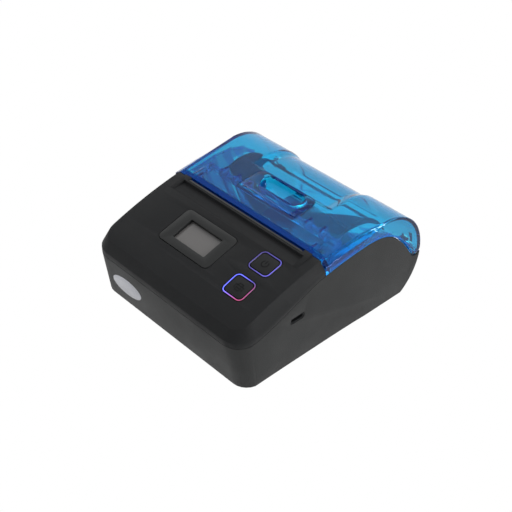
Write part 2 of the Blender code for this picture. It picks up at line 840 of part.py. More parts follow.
def cover_space_outline():
    """Side view of the space under the cover."""
    upper = [p for p in cover_top_points(cover_wall) if p[0] > cover_front_y + cover_wall]
    start_y = cover_front_y + cover_wall
    low = hinge_z - 2 * tab_radius
    upper = [(start_y, top_line(start_y) - cover_wall)] + upper
    inner_tab = arc((hinge_y, hinge_z), tab_radius - cover_wall, tab_angle, -pi / 2, 4)[1:]
    return upper + inner_tab + [(hinge_y, low), (start_y, low)]


def shoulder_tool(side, drop):
    """Wedge that takes the cover's shoulder off, full at the front and gone near the barrel's top."""
    form = bmesh.new()
    rows = []
    stations = spread(cover_front_y - overrun, shoulder_end_y, side_steps)
    for y in stations:
        t = max((y - cover_front_y) / (shoulder_end_y - cover_front_y), 0.0)
        fade = 1 - t**2
        run = chamfer_run * fade
        fall = (top_line(y) - seam_line(cover_front_y) - lip_height) * fade
        top = (half_width - run - drop, top_line(y) + gap / 30 - drop / 3)
        low = (half_width + gap / 30 - drop, top_line(y) - fall - drop / 3)
        slope = (top[1] - low[1]) / max(low[0] - top[0], gap / 30)
        high = top_line(y) + overrun * 2
        outer = half_width + overrun
        rise_x = top[0] - (high - top[1]) / max(slope, 1.0)
        spots = ((rise_x, high), (outer, high), (outer, low[1] - slope * overrun), top)
        rows.append([form.verts.new((side * x, y, z)) for x, z in spots])
    for first, second in zip(rows, rows[1:]):
        for i in range(4):
            j = (i + 1) % 4
            form.faces.new((first[i], first[j], second[j], second[i]))
    form.faces.new(rows[0])
    form.faces.new(list(reversed(rows[-1])))
    bmesh.ops.triangulate(form, faces=form.faces)
    return make_object(f"shoulder_tool_{side}_{drop > 0}", form)


def valley_outline(drop):
    """Side view of the shallow valley behind the latch lever, sunk by drop below its floor."""
    floor = barrel_radius - valley_depth - drop
    start_y = valley_start_y - (drop if drop else 0.0)
    start_z = top_line(start_y) - valley_depth - drop
    along = [(start_y, start_z), (barrel_y, barrel_z + floor)]
    along += arc((barrel_y, barrel_z), floor, pi / 2, radians(8.0), arc_steps)[1:]
    outer = barrel_radius - cover_wall / 2 if drop else barrel_radius + overrun
    back = arc((barrel_y, barrel_z), outer, radians(8.0), pi / 2, arc_steps)
    return along + back + [(start_y, barrel_z + outer)]


def valley_tool(name, drop):
    """Valley cutter, or with a drop the raised floor under it, with sloped ends left and right."""
    form = bmesh.new()
    outline = valley_outline(drop)
    middle = barrel_z + barrel_radius
    rings = []
    for side in (-1, 1):
        ring = []
        for y, z in outline:
            if y < barrel_y:
                out = z - top_line(y)
            else:
                out = hypot(y - barrel_y, z - barrel_z) - barrel_radius
            slope = (valley_top_half - valley_floor_half) / valley_depth
            half = valley_top_half + (out + drop) * slope
            if drop:
                half = min(half, valley_top_half) + cover_wall / 2
            ring.append(form.verts.new((side * half, y, z)))
        rings.append(ring)
    count = len(outline)
    for i in range(count):
        j = (i + 1) % count
        form.faces.new((rings[0][i], rings[0][j], rings[1][j], rings[1][i]))
    form.faces.new(list(reversed(rings[0])))
    form.faces.new(rings[1])
    bmesh.ops.triangulate(form, faces=form.faces)
    return make_object(name, form)


def lever_axis():
    """Place of the latch lever's axis in the side view."""
    return (lever_axis_y, top_line(lever_axis_y) - lever_axis_drop)


def lever_front():
    """Radius of the lever's round front edge, around its own axis."""
    return hypot(lever_axis_drop, lever_axis_drop * lever_front_share)


def lever_plan(name, clearance):
    """Upright tool with the plan outline of the lever, whose rear corners are round."""
    half = lever_half + clearance
    back_y = lever_back_y + clearance
    radius = lever_corner + clearance
    right = arc((half - radius, back_y - radius), radius, 0.0, pi / 2, corner_steps)
    left = arc((-half + radius, back_y - radius), radius, pi / 2, pi, corner_steps)
    front_y = lever_axis_y - 2 * lever_front()
    outline = right + left + [(-half, front_y), (half, front_y)]
    return prism(name, outline, hinge_z, cover_height + overrun, "Z")


def wedge_height(y):
    """Height of the raised front of the cover, which runs out smoothly behind it."""
    t = min(max((y - cover_front_y) / (wedge_end_y - cover_front_y), 0.0), 1.0)
    return top_line(y) + hood_rise * (1 - t) ** 2


def wedge_outline(depth):
    """Side view of the raised front of the cover, down to a depth under the top line."""
    places = spread(cover_front_y, wedge_end_y, side_steps // 2)
    return [(y, wedge_height(y)) for y in places] + [(y, top_line(y) - depth) for y in reversed(places)]


def make_cover():
    """Clear cover shell with its shoulder, valley, lever opening, platen arms and hinge lugs."""
    body = prism("cover_shell", cover_outline(), -half_width, half_width, "X", blue_plastic())
    for side in (-1, 1):
        cut(body, shoulder_tool(side, 0.0))
    wedge_half = groove_half + hood_cheek_width / 4
    join(body, prism("front_wedge", wedge_outline(cover_wall / 2), -wedge_half, wedge_half))
    space = prism("cover_space", cover_space_outline(), -half_width + cover_wall, half_width - cover_wall)
    for side in (-1, 1):
        cut(space, shoulder_tool(side, cover_wall))
    cut(body, space)
    join(body, valley_tool("valley_floor", cover_wall))
    cut(body, valley_tool("valley", 0.0))
    mouth_half = gear_inner_x + gear_face + 2 * gap
    low = (-mouth_half, cover_front_y - overrun, hinge_z)
    high = (mouth_half, cover_front_y + cover_wall + overrun, top_line(cover_front_y) + hood_rise - cover_lip_depth)
    cut(body, block("front_mouth", low, high))
    axis = lever_axis()
    for side in (-1, 1):
        top = top_line(platen_y) - cover_wall / 2
        low_x = side * (bush_inner_x + gap + arm_thickness / 2) - arm_thickness / 2
        arm_radius = bush_radius + running_gap + arm_thickness * 0.6
        join(body, prism(f"platen_arm_{side}", arm_outline((platen_y, platen_z), arm_radius, top), low_x,
                         low_x + arm_thickness))
        low_x = side * (lug_inner_x + lug_thickness / 2) - lug_thickness / 2
        join(body, prism(f"hinge_lug_{side}", lug_outline(), low_x, low_x + lug_thickness))
        for i in range(carrier_count):
            x = side * (carrier_inner_x + i * carrier_spacing)
            top = top_line(lever_axis_y) - cover_wall / 2
            join(body, prism(f"carrier_{side}_{i}", arm_outline(axis, carrier_radius, top), x - carrier_thickness / 2,
                             x + carrier_thickness / 2))
        low_x = side * (ear_inner_x + ear_thickness / 2) - ear_thickness / 2 - gap
        cut(body, rod(f"ear_notch_{side}", (hinge_y, hinge_z), tab_radius + gap, low_x,
                      low_x + ear_thickness + 2 * gap, "X", round_steps))
        cut(body, rod(f"lug_bore_{side}", (hinge_y, hinge_z), pin_radius + running_gap,
                      side * (lug_inner_x + lug_thickness / 2) - lug_thickness,
                      side * (lug_inner_x + lug_thickness / 2) + lug_thickness))
        low_x = side * (bush_inner_x + arm_thickness) - 2 * arm_thickness
        cut(body, rod(f"bush_bore_{side}", (platen_y, platen_z), bush_radius + running_gap, low_x,
                      low_x + 4 * arm_thickness, "X", round_steps))
    cut(body, rod("lever_bar_bore", axis, lever_bar_radius + running_gap, -hook_inner_x, hook_inner_x))
    opening = prism("lever_opening", lever_opening_outline(), -lever_half - overrun, lever_half + overrun)
    keep(opening, lever_plan("lever_opening_plan", gap))
    cut(body, opening)
    return body


def arm_outline(center, radius, top):
    """Side view of a bracket that hangs from the cover with a round end."""
    round_end = arc(center, radius, pi, 2 * pi, small_steps // 2)
    return round_end + [(center[0] + radius, top), (center[0] - radius, top)]


def lug_outline():
    """Side view of a hinge lug, from the cover's rear wall around the hinge line."""
    rim = barrel_radius - cover_wall / 2
    upper = radians(16.0)
    top = (barrel_y + rim * cos(upper), barrel_z + rim * sin(upper))
    round_end = arc((hinge_y, hinge_z), ear_radius, radians(180.0), radians(330.0), small_steps // 2)
    inner = (hinge_y - ear_radius, hinge_z + ear_radius)
    return [inner] + round_end + [top]


def lever_opening_outline():
    """Side view of the cut in the cover for the lever, round in front around the lever's axis."""
    axis = lever_axis()
    radius = lever_front() + gap
    front = arc(axis, radius, radians(100.0), radians(175.0), small_steps // 2)
    low = axis[1] - radius / 8
    high = cover_height + overrun
    start = [(axis[0], high), (front[0][0], high)]
    back_y = lever_back_y + overrun
    return start + front + [(front[-1][0], low), (back_y, low), (back_y, high)]


def make_lever():
    """Latch lever: tongue with a finger pocket, necks, a ribbed cross bar and two hook arms."""
    axis = lever_axis()
    radius = lever_front()
    origin = (0.0, axis[0], axis[1])
    front_angle = atan2(lever_axis_drop, -lever_axis_drop * lever_front_share)
    low_angle = atan2(lever_axis_drop - cover_wall, -sqrt(radius**2 - (lever_axis_drop - cover_wall) ** 2))
    front = arc(axis, radius, low_angle, front_angle, 4)
    places = spread(front[-1][0], lever_back_y + overrun, side_steps // 2)[1:]
    upper = [(y, top_line(y)) for y in places]
    lower = [(y, top_line(y) - cover_wall) for y in reversed(places)]
    wide = lever_half + overrun
    body = prism("latch_lever", front + upper + lower, -wide, wide, "X", blue_plastic(), origin)
    keep(body, lever_plan("lever_tongue_plan", 0.0))
    depth_z = top_line(pocket_center_y) - pocket_depth
    tub_radius = pocket_radius + pocket_wall / 2
    tub = stadium(pocket_half + pocket_wall / 2, tub_radius, pocket_center_y)
    tub_low = depth_z - pocket_wall
    join(body, prism("pocket_tub", tub, tub_low, top_line(pocket_center_y) - cover_wall / 2, "Z"))
    hollow = stadium(pocket_half - pocket_wall / 2, pocket_radius - pocket_wall / 2, pocket_center_y)
    join_bar = rod("lever_bar", axis, lever_bar_radius, -lever_bar_half, lever_bar_half)
    join(body, join_bar)
    for side in (-1, 1):
        x = side * lever_neck_half
        neck = [(axis[0] - lever_bar_radius, axis[1]), (axis[0] + lever_bar_radius, axis[1])]
        top = top_line(lever_axis_y) - cover_wall / 2
        neck += [(axis[0] + lever_bar_radius * 2, top), (axis[0] - lever_bar_radius * 2, top)]
        join(body, prism(f"neck_{side}", neck, x - lever_neck_width / 2, x + lever_neck_width / 2))
        low_x = side * (hook_inner_x + hook_thickness / 2) - hook_thickness / 2
        join(body, prism(f"hook_{side}", hook_outline(), low_x, low_x + hook_thickness))
        for i in range(carrier_count):
            for k in (-1, 1):
                x = side * (carrier_inner_x + i * carrier_spacing + k * rib_spacing)
                join(body, rod(f"bar_rib_{side}_{i}_{k}", axis, rib_radius, x - rib_width / 2, x + rib_width / 2))
    cut(body, prism("pocket_space", hollow, depth_z, cover_height, "Z"))
    return body


def stadium(half, radius, center_y):
    """Slot outline with round ends, long in X."""
    right = arc((half - radius, center_y), radius, -pi / 2, pi / 2, corner_steps)
    left = arc((-half + radius, center_y), radius, pi / 2, 3 * pi / 2, corner_steps)
    return right + left


def hook_outline():
    """Side view of a hook arm: round on the bar, leaning forward, with a rounded nose."""
    axis = lever_axis()
    top = arc(axis, hook_width * 0.75, radians(-10.0), radians(190.0), small_steps // 2)
    tip_y = axis[0] - hook_drop * 0.85
    tip_z = axis[1] - hook_drop
    return top + [(tip_y - hook_width / 2, tip_z + hook_width / 2), (tip_y - hook_width / 2, tip_z),
                  (tip_y + hook_width / 2, tip_z)]


def idler_place():
    """Center of the idler, under the platen gear on the line that the cover lifts along."""
    reach_y = platen_y - hinge_y
    reach_z = platen_z - hinge_z
    length = hypot(reach_y, reach_z)
    distance = gear_module * (platen_teeth + idler_teeth) / 2 + mesh_slack
    return (platen_y - reach_z / length * distance, platen_z + reach_y / length * distance)


def pinion_place():
    """Center of the motor pinion, straight under the idler."""
    idler_y, idler_z = idler_place()
    distance = gear_module * (idler_teeth + pinion_teeth) / 2 + mesh_slack
    return (idler_y, idler_z - distance)


def gear_outline(teeth, center, phase):
    """Side view of a spur gear whose tooth number 0 points along phase."""
    pitch = gear_module * teeth / 2
    tip = pitch + gear_module * addendum_share
    root = pitch - gear_module * dedendum_share
    step = 2 * pi / teeth
    points = []
    for i in range(teeth):
        middle = phase + i * step
        for radius, offset in ((root, -0.5 + tip_share), (pitch, -tooth_share / 2), (tip, -tip_share / 2),
                               (tip, tip_share / 2), (pitch, tooth_share / 2), (root, 0.5 - tip_share)):
            angle = middle + offset * step
            points.append((center[0] + radius * cos(angle), center[1] + radius * sin(angle)))
    return points


def make_gear(name, teeth, center, phase, bore):
    """Spur gear on the left side with its bore and a shallow web."""
    origin = (0.0, center[0], center[1])
    outer = -gear_inner_x - gear_face
    body = prism(name, gear_outline(teeth, center, phase), outer, -gear_inner_x, "X", white_plastic(), origin)
    if bore:
        cut(body, rod(f"{name}_bore", center, bore, outer - overrun, -gear_inner_x + overrun))
    return body


def make_gears():
    """Platen gear, idler and motor pinion, in mesh with the cover shut."""
    platen = (platen_y, platen_z)
    idler = idler_place()
    pinion = pinion_place()
    toward_idler = atan2(idler[1] - platen[1], idler[0] - platen[0])
    toward_pinion = atan2(pinion[1] - idler[1], pinion[0] - idler[0])
    make_gear("platen_gear", platen_teeth, platen, toward_idler, shaft_radius + gap / 2)
    idler_phase = toward_idler + pi + pi / idler_teeth
    make_gear("idler_gear", idler_teeth, idler, idler_phase, axle_radius + running_gap)
    turned = (toward_pinion - idler_phase) * idler_teeth
    pinion_phase = toward_pinion + pi - (turned + pi) / pinion_teeth * -1
    make_gear("motor_pinion", pinion_teeth, pinion, pinion_phase, 0.0)
    origin = (0.0, pinion[0], pinion[1])
    shaft_high = -chassis_inner_x + motor_flange
    pinion_body = bpy.data.objects["motor_pinion"]
    shaft = rod("motor_shaft", pinion, axle_radius, -gear_inner_x - gap, shaft_high, "X", small_steps, None, origin)
    join(pinion_body, shaft)


def make_platen():
    """Rubber platen on its steel shaft, with two bushes that hang in the cover's arms."""
    center = (platen_y, platen_z)
    origin = (0.0, platen_y, platen_z)
    left_end = -gear_inner_x - gear_face - gap
    rod("platen_shaft", center, shaft_radius, left_end, bush_outer_x + gap, "X", small_steps, steel(), origin)
    sleeve = rod("platen_rubber", center, platen_radius, -platen_half_length, platen_half_length, "X", round_steps,
                 rubber(), origin)
    cut(sleeve, rod("platen_core", center, shaft_radius + gap, -platen_half_length - overrun,
                    platen_half_length + overrun))
    for side, tag in ((-1, "left"), (1, "right")):
        low = min(side * bush_inner_x, side * bush_outer_x)
        high = max(side * bush_inner_x, side * bush_outer_x)
        bush = rod(f"platen_bush_{tag}", center, bush_radius, low, high, "X", round_steps, white_plastic())
        cut(bush, rod(f"bush_space_{tag}", center, shaft_radius + running_gap, low - overrun, high + overrun))


def make_chassis():
    """Folded steel frame: two side plates with slots for the bushes, a floor tie and the head's backing."""
    looks = steel()
    plate = [(chassis_front_y, backing_top_z), (chassis_front_y, floor_z + gap), (chassis_back_y, floor_z + gap)]
    plate += [(chassis_back_y, chassis_top_z), (platen_y - bush_radius * 1.4, chassis_top_z)]
    body = None
    for side in (-1, 1):
        low = side * (chassis_inner_x + chassis_thickness / 2) - chassis_thickness / 2
        tool = prism("mech_frame" if body is None else "frame_plate", plate, low, low + chassis_thickness, "X", looks)
        body = join(body, tool) if body else tool
    low = (-chassis_inner_x - chassis_thickness / 2, chassis_front_y + chassis_thickness, tie_z)
    high = (chassis_inner_x + chassis_thickness / 2, chassis_back_y - chassis_thickness, tie_z + chassis_thickness)
    join(body, block("frame_tie", low, high))
    low = (-chassis_inner_x - chassis_thickness / 2, backing_back_y - backing_thickness, backing_bottom_z)
    high = (chassis_inner_x + chassis_thickness / 2, backing_back_y, backing_top_z)
    join(body, block("head_backing", low, high))
    clear = bush_radius + gap
    lift_y = hinge_z - platen_z
    lift_z = platen_y - hinge_y
    length = hypot(lift_y, lift_z)
    rise = bush_radius * 3
    up = (-lift_y / length * rise, -lift_z / length * rise)
    slot = arc((platen_y, platen_z), clear, pi, 2 * pi, small_steps // 2)
    slot += [(platen_y + clear + up[0] * 2, platen_z + up[1]), (platen_y - clear, platen_z + up[1])]
    cut(body, prism("bush_slots", slot, -half_width, half_width))
    pivot = (heatsink_front_y - heatsink_thickness / 2, head_pivot_z)
    cut(body, rod("head_pivot_holes", pivot, head_pivot_radius + running_gap, -half_width, half_width))
    pinion = pinion_place()
    cut(body, rod("motor_hole", pinion, motor_boss_radius + gap, -half_width, 0.0))
    idler = idler_place()
    stub_end = -gear_inner_x - gear_face + gap
    join(body, rod("idler_stub", idler, axle_radius, stub_end, -chassis_inner_x - chassis_thickness / 2))
    keeper = (lever_axis_y - hook_drop * 0.85 - hook_width - keeper_radius, keeper_z)
    for side in (-1, 1):
        start = side * (chassis_inner_x + chassis_thickness / 2)
        end = side * (hook_inner_x + hook_thickness)
        join(body, rod(f"keeper_{side}", keeper, keeper_radius, min(start, end), max(start, end)))
    return body


def make_head():
    """Thermal head plate on its finned heatsink, which pivots in the frame, and the leaf spring behind."""
    pivot = (heatsink_front_y - heatsink_thickness / 2, head_pivot_z)
    origin = (0.0, pivot[0], pivot[1])
    low = (-head_half_length, head_front_y - head_thickness, head_bottom_z)
    high = (head_half_length, head_front_y, head_top_z)
    plate = block("thermal_head", low, high, material("head_ceramic", (0.42, 0.40, 0.36), 0.35), origin)
    line_z = platen_z
    dots = block("head_line", (-platen_half_length, head_front_y - gap, line_z - gap),
                 (platen_half_length, head_front_y + gap / 2, line_z + gap), None, origin)
    join(plate, dots)
    low = (-head_half_length, heatsink_back_y, head_bottom_z)
    high = (head_half_length, heatsink_front_y, head_top_z - 2 * gap)
    sink = block("heatsink", low, high, material("aluminium", (0.55, 0.56, 0.57), 0.38, 1.0), origin)
    pitch = 2 * head_half_length / heatsink_fins
    for i in range(heatsink_fins):
        x = -head_half_length + (i + 0.5) * pitch
        low = (x - pitch / 4, heatsink_back_y - heatsink_fin_depth, head_bottom_z)
        high = (x + pitch / 4, heatsink_back_y + gap, head_top_z - heatsink_thickness)
        if i != heatsink_fins // 2:
            join(sink, block(f"fin_{i}", low, high, None, origin))
    end = chassis_inner_x + chassis_thickness
    join(sink, rod("head_pivot", pivot, head_pivot_radius, -end, end, "X", small_steps, None, origin))
    leaf = [(backing_back_y + gap, backing_bottom_z + leaf_width / 2)]
    leaf_top = backing_bottom_z + leaf_width
    leaf += [(backing_back_y + gap + leaf_thickness, backing_bottom_z + leaf_width / 2)]
    leaf += [(heatsink_back_y - 2 * gap, leaf_top - leaf_thickness), (heatsink_back_y - 2 * gap, leaf_top)]
    leaf += [(heatsink_back_y - 2 * gap - leaf_thickness, leaf_top)]
    prism("head_spring", leaf, -leaf_width / 2, leaf_width / 2, "X", steel())


def make_motor():
    """Round stepper motor on the inner side of the left plate, with its flange and front boss."""
    center = pinion_place()
    high = -chassis_inner_x + motor_length + gap
    body = rod("feed_motor", center, motor_radius, -chassis_inner_x + gap + motor_flange, high, "X", round_steps,
               steel())
    reach = motor_radius * 1.2
    flange = rounded_rectangle(2 * reach, 2 * motor_radius, motor_radius * 0.9, corner_steps)
    flange = [(center[0] + v, center[1] + u) for u, v in flange]
    low = -chassis_inner_x + gap
    join(body, prism("motor_flange", flange, low, low + motor_flange + gap))
    hole = axle_radius + gap
    cut(body, rod("motor_bore", center, hole, low - overrun, low + motor_flange * 2))
    return body


def make_bucket():
    """Paper bucket: round trough with two round cheeks and a guide lip along its front."""
    center = (bucket_y, bucket_z)
    outer_half = bucket_half + bucket_wall
    body = rod("paper_bucket", center, bucket_outer, -outer_half, outer_half, "X", 2 * round_steps, dark_plastic())
    cut(body, rod("bucket_space", center, bucket_radius, -bucket_half, bucket_half, "X", 2 * round_steps))
    top = bucket_z + bucket_outer + overrun
    mouth = [(bucket_y - bucket_outer - overrun, bucket_front_z), (bucket_y, bucket_front_z)]
    mouth += [(bucket_y, bucket_back_z), (bucket_y + bucket_outer + overrun, bucket_back_z)]
    mouth += [(bucket_y + bucket_outer + overrun, top), (bucket_y - bucket_outer - overrun, top)]
    cut(body, prism("bucket_mouth", mouth, -bucket_half, bucket_half))
    drop = bucket_front_z - bucket_z
    edge_y = bucket_y - sqrt((bucket_radius + bucket_wall / 2) ** 2 - drop**2)
    join(body, rod("front_guide", (edge_y, bucket_front_z), roller_guide_radius, -bucket_half - bucket_wall / 2,
                   bucket_half + bucket_wall / 2))
    return body


def make_sensor():
    """Paper sensor in front of the bucket, on the frame's tie."""
    low_z = tie_z + chassis_thickness + gap
    middle_y = chassis_back_y - chassis_thickness - sensor_length
    low = (-sensor_width / 2, middle_y - sensor_length / 2, low_z)
    high = (sensor_width / 2, middle_y + sensor_length / 2, low_z + sensor_height)
    return block("paper_sensor", low, high, dark_plastic())


def make_board():
    """Main board on its posts with the larger chips fused on, and the port at its right edge."""
    low = (-board_half, board_front_y, board_z)
    high = (board_half, board_back_y, board_z + board_thickness)
    board = block("main_board", low, high, green_board())
    for i, share in enumerate((-0.5, -0.1, 0.3)):
        x = board_half * share
        y = board_front_y + chip_size
        low = (x - chip_size / 2, y - chip_size / 2, board_z + board_thickness / 2)
        high = (x + chip_size / 2, y + chip_size / 2, board_z + board_thickness + chip_height)
        join(board, block(f"chip_{i}", low, high))
    mouth_x = half_width - gap
    low_x = mouth_x - port_depth
    outline = rounded_rectangle(port_width, port_height, port_height / 2 - gap / 10, corner_steps // 2)
    outline = [(port_y + u, port_z + v) for u, v in outline]
    port = prism("usb_port", outline, low_x, mouth_x, "X", steel())
    inner_height = port_height - 2 * port_shell
    inner = rounded_rectangle(port_width - 2 * port_shell, inner_height, inner_height / 2 - gap / 10, corner_steps // 2)
    inner = [(port_y + u, port_z + v) for u, v in inner]
    cut(port, prism("port_space", inner, low_x + port_shell * 3, mouth_x + overrun))
    tongue_low = (low_x + port_shell, port_y - port_tongue_width / 2, port_z - port_tongue_height / 2)
    tongue_high = (mouth_x - port_shell * 3, port_y + port_tongue_width / 2, port_z + port_tongue_height / 2)
    join(port, block("port_tongue", tongue_low, tongue_high))


def make_battery():
    """Battery pack flush with the bottom, with a ribbed finger grip, and the contacts behind it."""
    low = (-battery_half, battery_front_y, base_z)
    high = (battery_half, battery_back_y, base_z + battery_height)
    form = bmesh.new()
    add_prism(form, box_outline(low[1:], high[1:]), low[0], high[0])
    upright = [e for e in form.edges if abs(e.verts[0].co.z - e.verts[1].co.z) > gap]
    bmesh.ops.bevel(form, geom=upright, offset=battery_corner, segments=4, affect="EDGES", profile=0.5)
    pack = make_object("battery_pack", form, dark_plastic(), (0.0, (low[1] + high[1]) / 2, base_z))
    grip_low = (-grip_width / 2, battery_back_y - grip_length - gap, base_z - overrun)
    grip_high = (grip_width / 2, battery_back_y - 4 * gap, base_z + grip_depth)
    cut(pack, block("grip_space", grip_low, grip_high))
    window_half = contact_width / 2
    bay_top = base_z + battery_height + gap
    low = (-window_half, battery_back_y + 2 * gap, bay_top - contact_height - overrun + gap)
    high = (window_half, battery_back_y + gap + bay_wall + overrun, bay_top - overrun)
    block("battery_contacts", low, high, dark_plastic())


def make_small_parts():
    """Rubber feet, case screws and hinge pins."""
    number = 0
    for side, tag in ((-1, "left"), (1, "right")):
        for row, (foot_y, screw_y) in enumerate(((foot_front_y, screw_front_y), (foot_back_y, screw_back_y))):
            number += 1
            center = (side * foot_side_x, foot_y)
            top = base_z + foot_recess - gap
            rod(f"foot_{number}", center, foot_radius, 0.0, top, "Z", round_steps, rubber())
            center = (side * screw_side_x, screw_y)
            head_low = base_z + screw_sink
            head_top = head_low + screw_head_height - gap
            screw = rod(f"case_screw_{number}", center, screw_head_radius, head_low, head_top, "Z", small_steps,
                        steel())
            end = base_z + screw_sink + screw_length
            join(screw, rod(f"shank_{number}", center, screw_shank_radius, head_low + gap, end, "Z"))
        start = side * (ear_inner_x + gap)
        end = side * pin_end_x
        rod(f"hinge_pin_{tag}", (hinge_y, hinge_z), pin_radius, min(start, end), max(start, end), "X", small_steps,
            steel())


for old in list(bpy.data.objects):
    bpy.data.objects.remove(old, do_unlink=True)

printer = bpy.data.objects.new("printer", None)
printer.location = (0.0, -case_depth / 2, 0.0)
bpy.context.scene.collection.objects.link(printer)

make_lower_case()
make_top_case()
make_display()
make_keys()
make_tear_bar()
make_bucket()
make_chassis()
make_head()
make_motor()
make_sensor()
make_board()
make_battery()
make_small_parts()
make_gears()
make_platen()
make_cover()
make_lever()
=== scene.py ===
# %% [markdown]
# # Portable receipt printer
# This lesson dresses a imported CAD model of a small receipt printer: a black case with a sloped
# panel, and a clear blue cover over the paper bucket.  The CAD parts are the fixed frame.  Where
# a part's shape is right, it only gets a finish.  Where the light would show its flat facets, a
# merged and rounded copy stands for it.

# %% Load the frame
import json
from math import atan2, cos, hypot, log, pi, radians, sin, sqrt

import bmesh
import bpy
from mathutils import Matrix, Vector


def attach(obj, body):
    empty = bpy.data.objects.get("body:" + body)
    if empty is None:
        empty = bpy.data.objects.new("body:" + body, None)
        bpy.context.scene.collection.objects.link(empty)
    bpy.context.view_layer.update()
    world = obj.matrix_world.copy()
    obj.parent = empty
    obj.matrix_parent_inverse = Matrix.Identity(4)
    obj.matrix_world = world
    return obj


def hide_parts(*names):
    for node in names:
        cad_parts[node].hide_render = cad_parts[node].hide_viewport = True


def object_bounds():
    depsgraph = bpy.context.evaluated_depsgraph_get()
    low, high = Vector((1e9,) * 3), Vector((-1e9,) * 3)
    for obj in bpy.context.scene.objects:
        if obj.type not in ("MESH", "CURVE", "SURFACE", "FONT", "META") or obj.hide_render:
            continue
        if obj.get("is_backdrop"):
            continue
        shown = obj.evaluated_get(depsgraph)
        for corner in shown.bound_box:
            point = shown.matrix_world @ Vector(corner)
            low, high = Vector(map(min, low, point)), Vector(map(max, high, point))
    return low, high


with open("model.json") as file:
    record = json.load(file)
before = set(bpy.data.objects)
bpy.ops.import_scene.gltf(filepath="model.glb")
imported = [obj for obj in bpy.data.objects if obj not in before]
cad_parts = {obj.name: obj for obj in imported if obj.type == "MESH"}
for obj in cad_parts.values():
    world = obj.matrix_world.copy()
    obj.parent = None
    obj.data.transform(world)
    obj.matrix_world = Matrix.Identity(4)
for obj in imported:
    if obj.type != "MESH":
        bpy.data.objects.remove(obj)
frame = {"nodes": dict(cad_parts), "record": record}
cad_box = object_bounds()
nodes = frame["nodes"]
body_of_node = {n: b for b, members in frame["record"]["behaviour"]["bodies"].items() for n in members}
slot_of_node = {s["node"]: s["material_slot"] for s in frame["record"]["subparts"]}

# %% Small helpers for objects and node trees


def placed(name, data):
    """A new object in the scene, with the mesh, lamp or camera data given."""
    made = bpy.data.objects.new(name, data)
    bpy.context.scene.collection.objects.link(made)
    return made


def set_inputs(node, values):
    """Sets the named or numbered inputs of a node and gives the node back."""
    for key, value in (values or {}).items():
        node.inputs[key].default_value = value
    return node


def new_material(name, values=None):
    """A material with its tree, its Principled shader with the values, and its output."""
    made = bpy.data.materials.new(name)
    made.use_nodes = True
    tree = made.node_tree
    shader = set_inputs(tree.nodes["Principled BSDF"], values)
    return made, tree, shader, tree.nodes["Material Output"]


def add_node(tree, kind, values=None, **settings):
    """A shader node of a kind, with its settings and the values of its inputs."""
    node = tree.nodes.new("ShaderNode" + kind)
    for key, value in settings.items():
        setattr(node, key, value)
    return set_inputs(node, values)


def wire(tree, *links):
    """Links each output, given as a socket or as a node and a label, to a node's input."""
    for *start, node, label in links:
        output = start[0].outputs[start[1]] if len(start) == 2 else start[0]
        tree.links.new(output, node.inputs[label])


def lay_out(tree, *textures):
    """Lays textures out in the object's own coordinates."""
    place = add_node(tree, "TexCoord")
    wire(tree, *((place, "Object", texture, "Vector") for texture in textures))


# %% [markdown]
# ## The camera and the room
# The photograph was taken from the front right, a little above the printer, with a long lens.
# The place below was worked out from the edges of the case, so a point of the model falls on the
# same pixel as the real one.  A white sweep and big soft lamps stand for the photo studio.

# %% Camera
camera_place = Vector((0.32653, -0.30268, 0.36430))
camera_down = radians(37.72)
camera_turn = radians(47.28)
sensor_width = 36.0
focal_length = 75.65

camera_data = bpy.data.cameras.new("photo_camera")
camera_data.sensor_width = sensor_width
camera_data.lens = focal_length
camera_data.clip_start = 0.01
camera_data.clip_end = 20.0
camera = placed("photo_camera", camera_data)
camera.location = camera_place
camera.rotation_euler = (pi / 2 - camera_down, 0.0, camera_turn)
bpy.context.scene.camera = camera
bpy.context.scene.view_settings.view_transform = "Standard"
print("the camera is", round(camera_place.length, 3), "m from the printer's middle")

# %% Floor, world and lamps
white = (1.0, 1.0, 1.0, 1.0)
floor_size = 3.0


def see_white(tree, lit_shader, output):
    """Plain white to the camera, in gloss and in glass, and the lit shader to all other rays."""
    path = add_node(tree, "LightPath")
    either = add_node(tree, "Math", operation="MAXIMUM")
    any_of = add_node(tree, "Math", operation="MAXIMUM")
    mixed = add_node(tree, "MixShader")
    wire(
        tree,
        (path, "Is Camera Ray", either, 0),
        (path, "Is Transmission Ray", either, 1),
        (either, 0, any_of, 0),
        (path, "Is Glossy Ray", any_of, 1),
        (any_of, 0, mixed, 0),
        (lit_shader, mixed, 1),
        (mixed, 0, output, "Surface"),
    )
    return mixed


world = bpy.data.worlds.new("studio")
world.use_nodes = True
bpy.context.scene.world = world
tree = world.node_tree
lit = set_inputs(tree.nodes["Background"], {"Color": (0.93, 0.96, 1.0, 1.0), "Strength": 0.35})
seen = add_node(tree, "Background", {"Color": white, "Strength": 1.0})
mixed = see_white(tree, lit.outputs[0], tree.nodes["World Output"])
wire(tree, (seen, 0, mixed, 2))

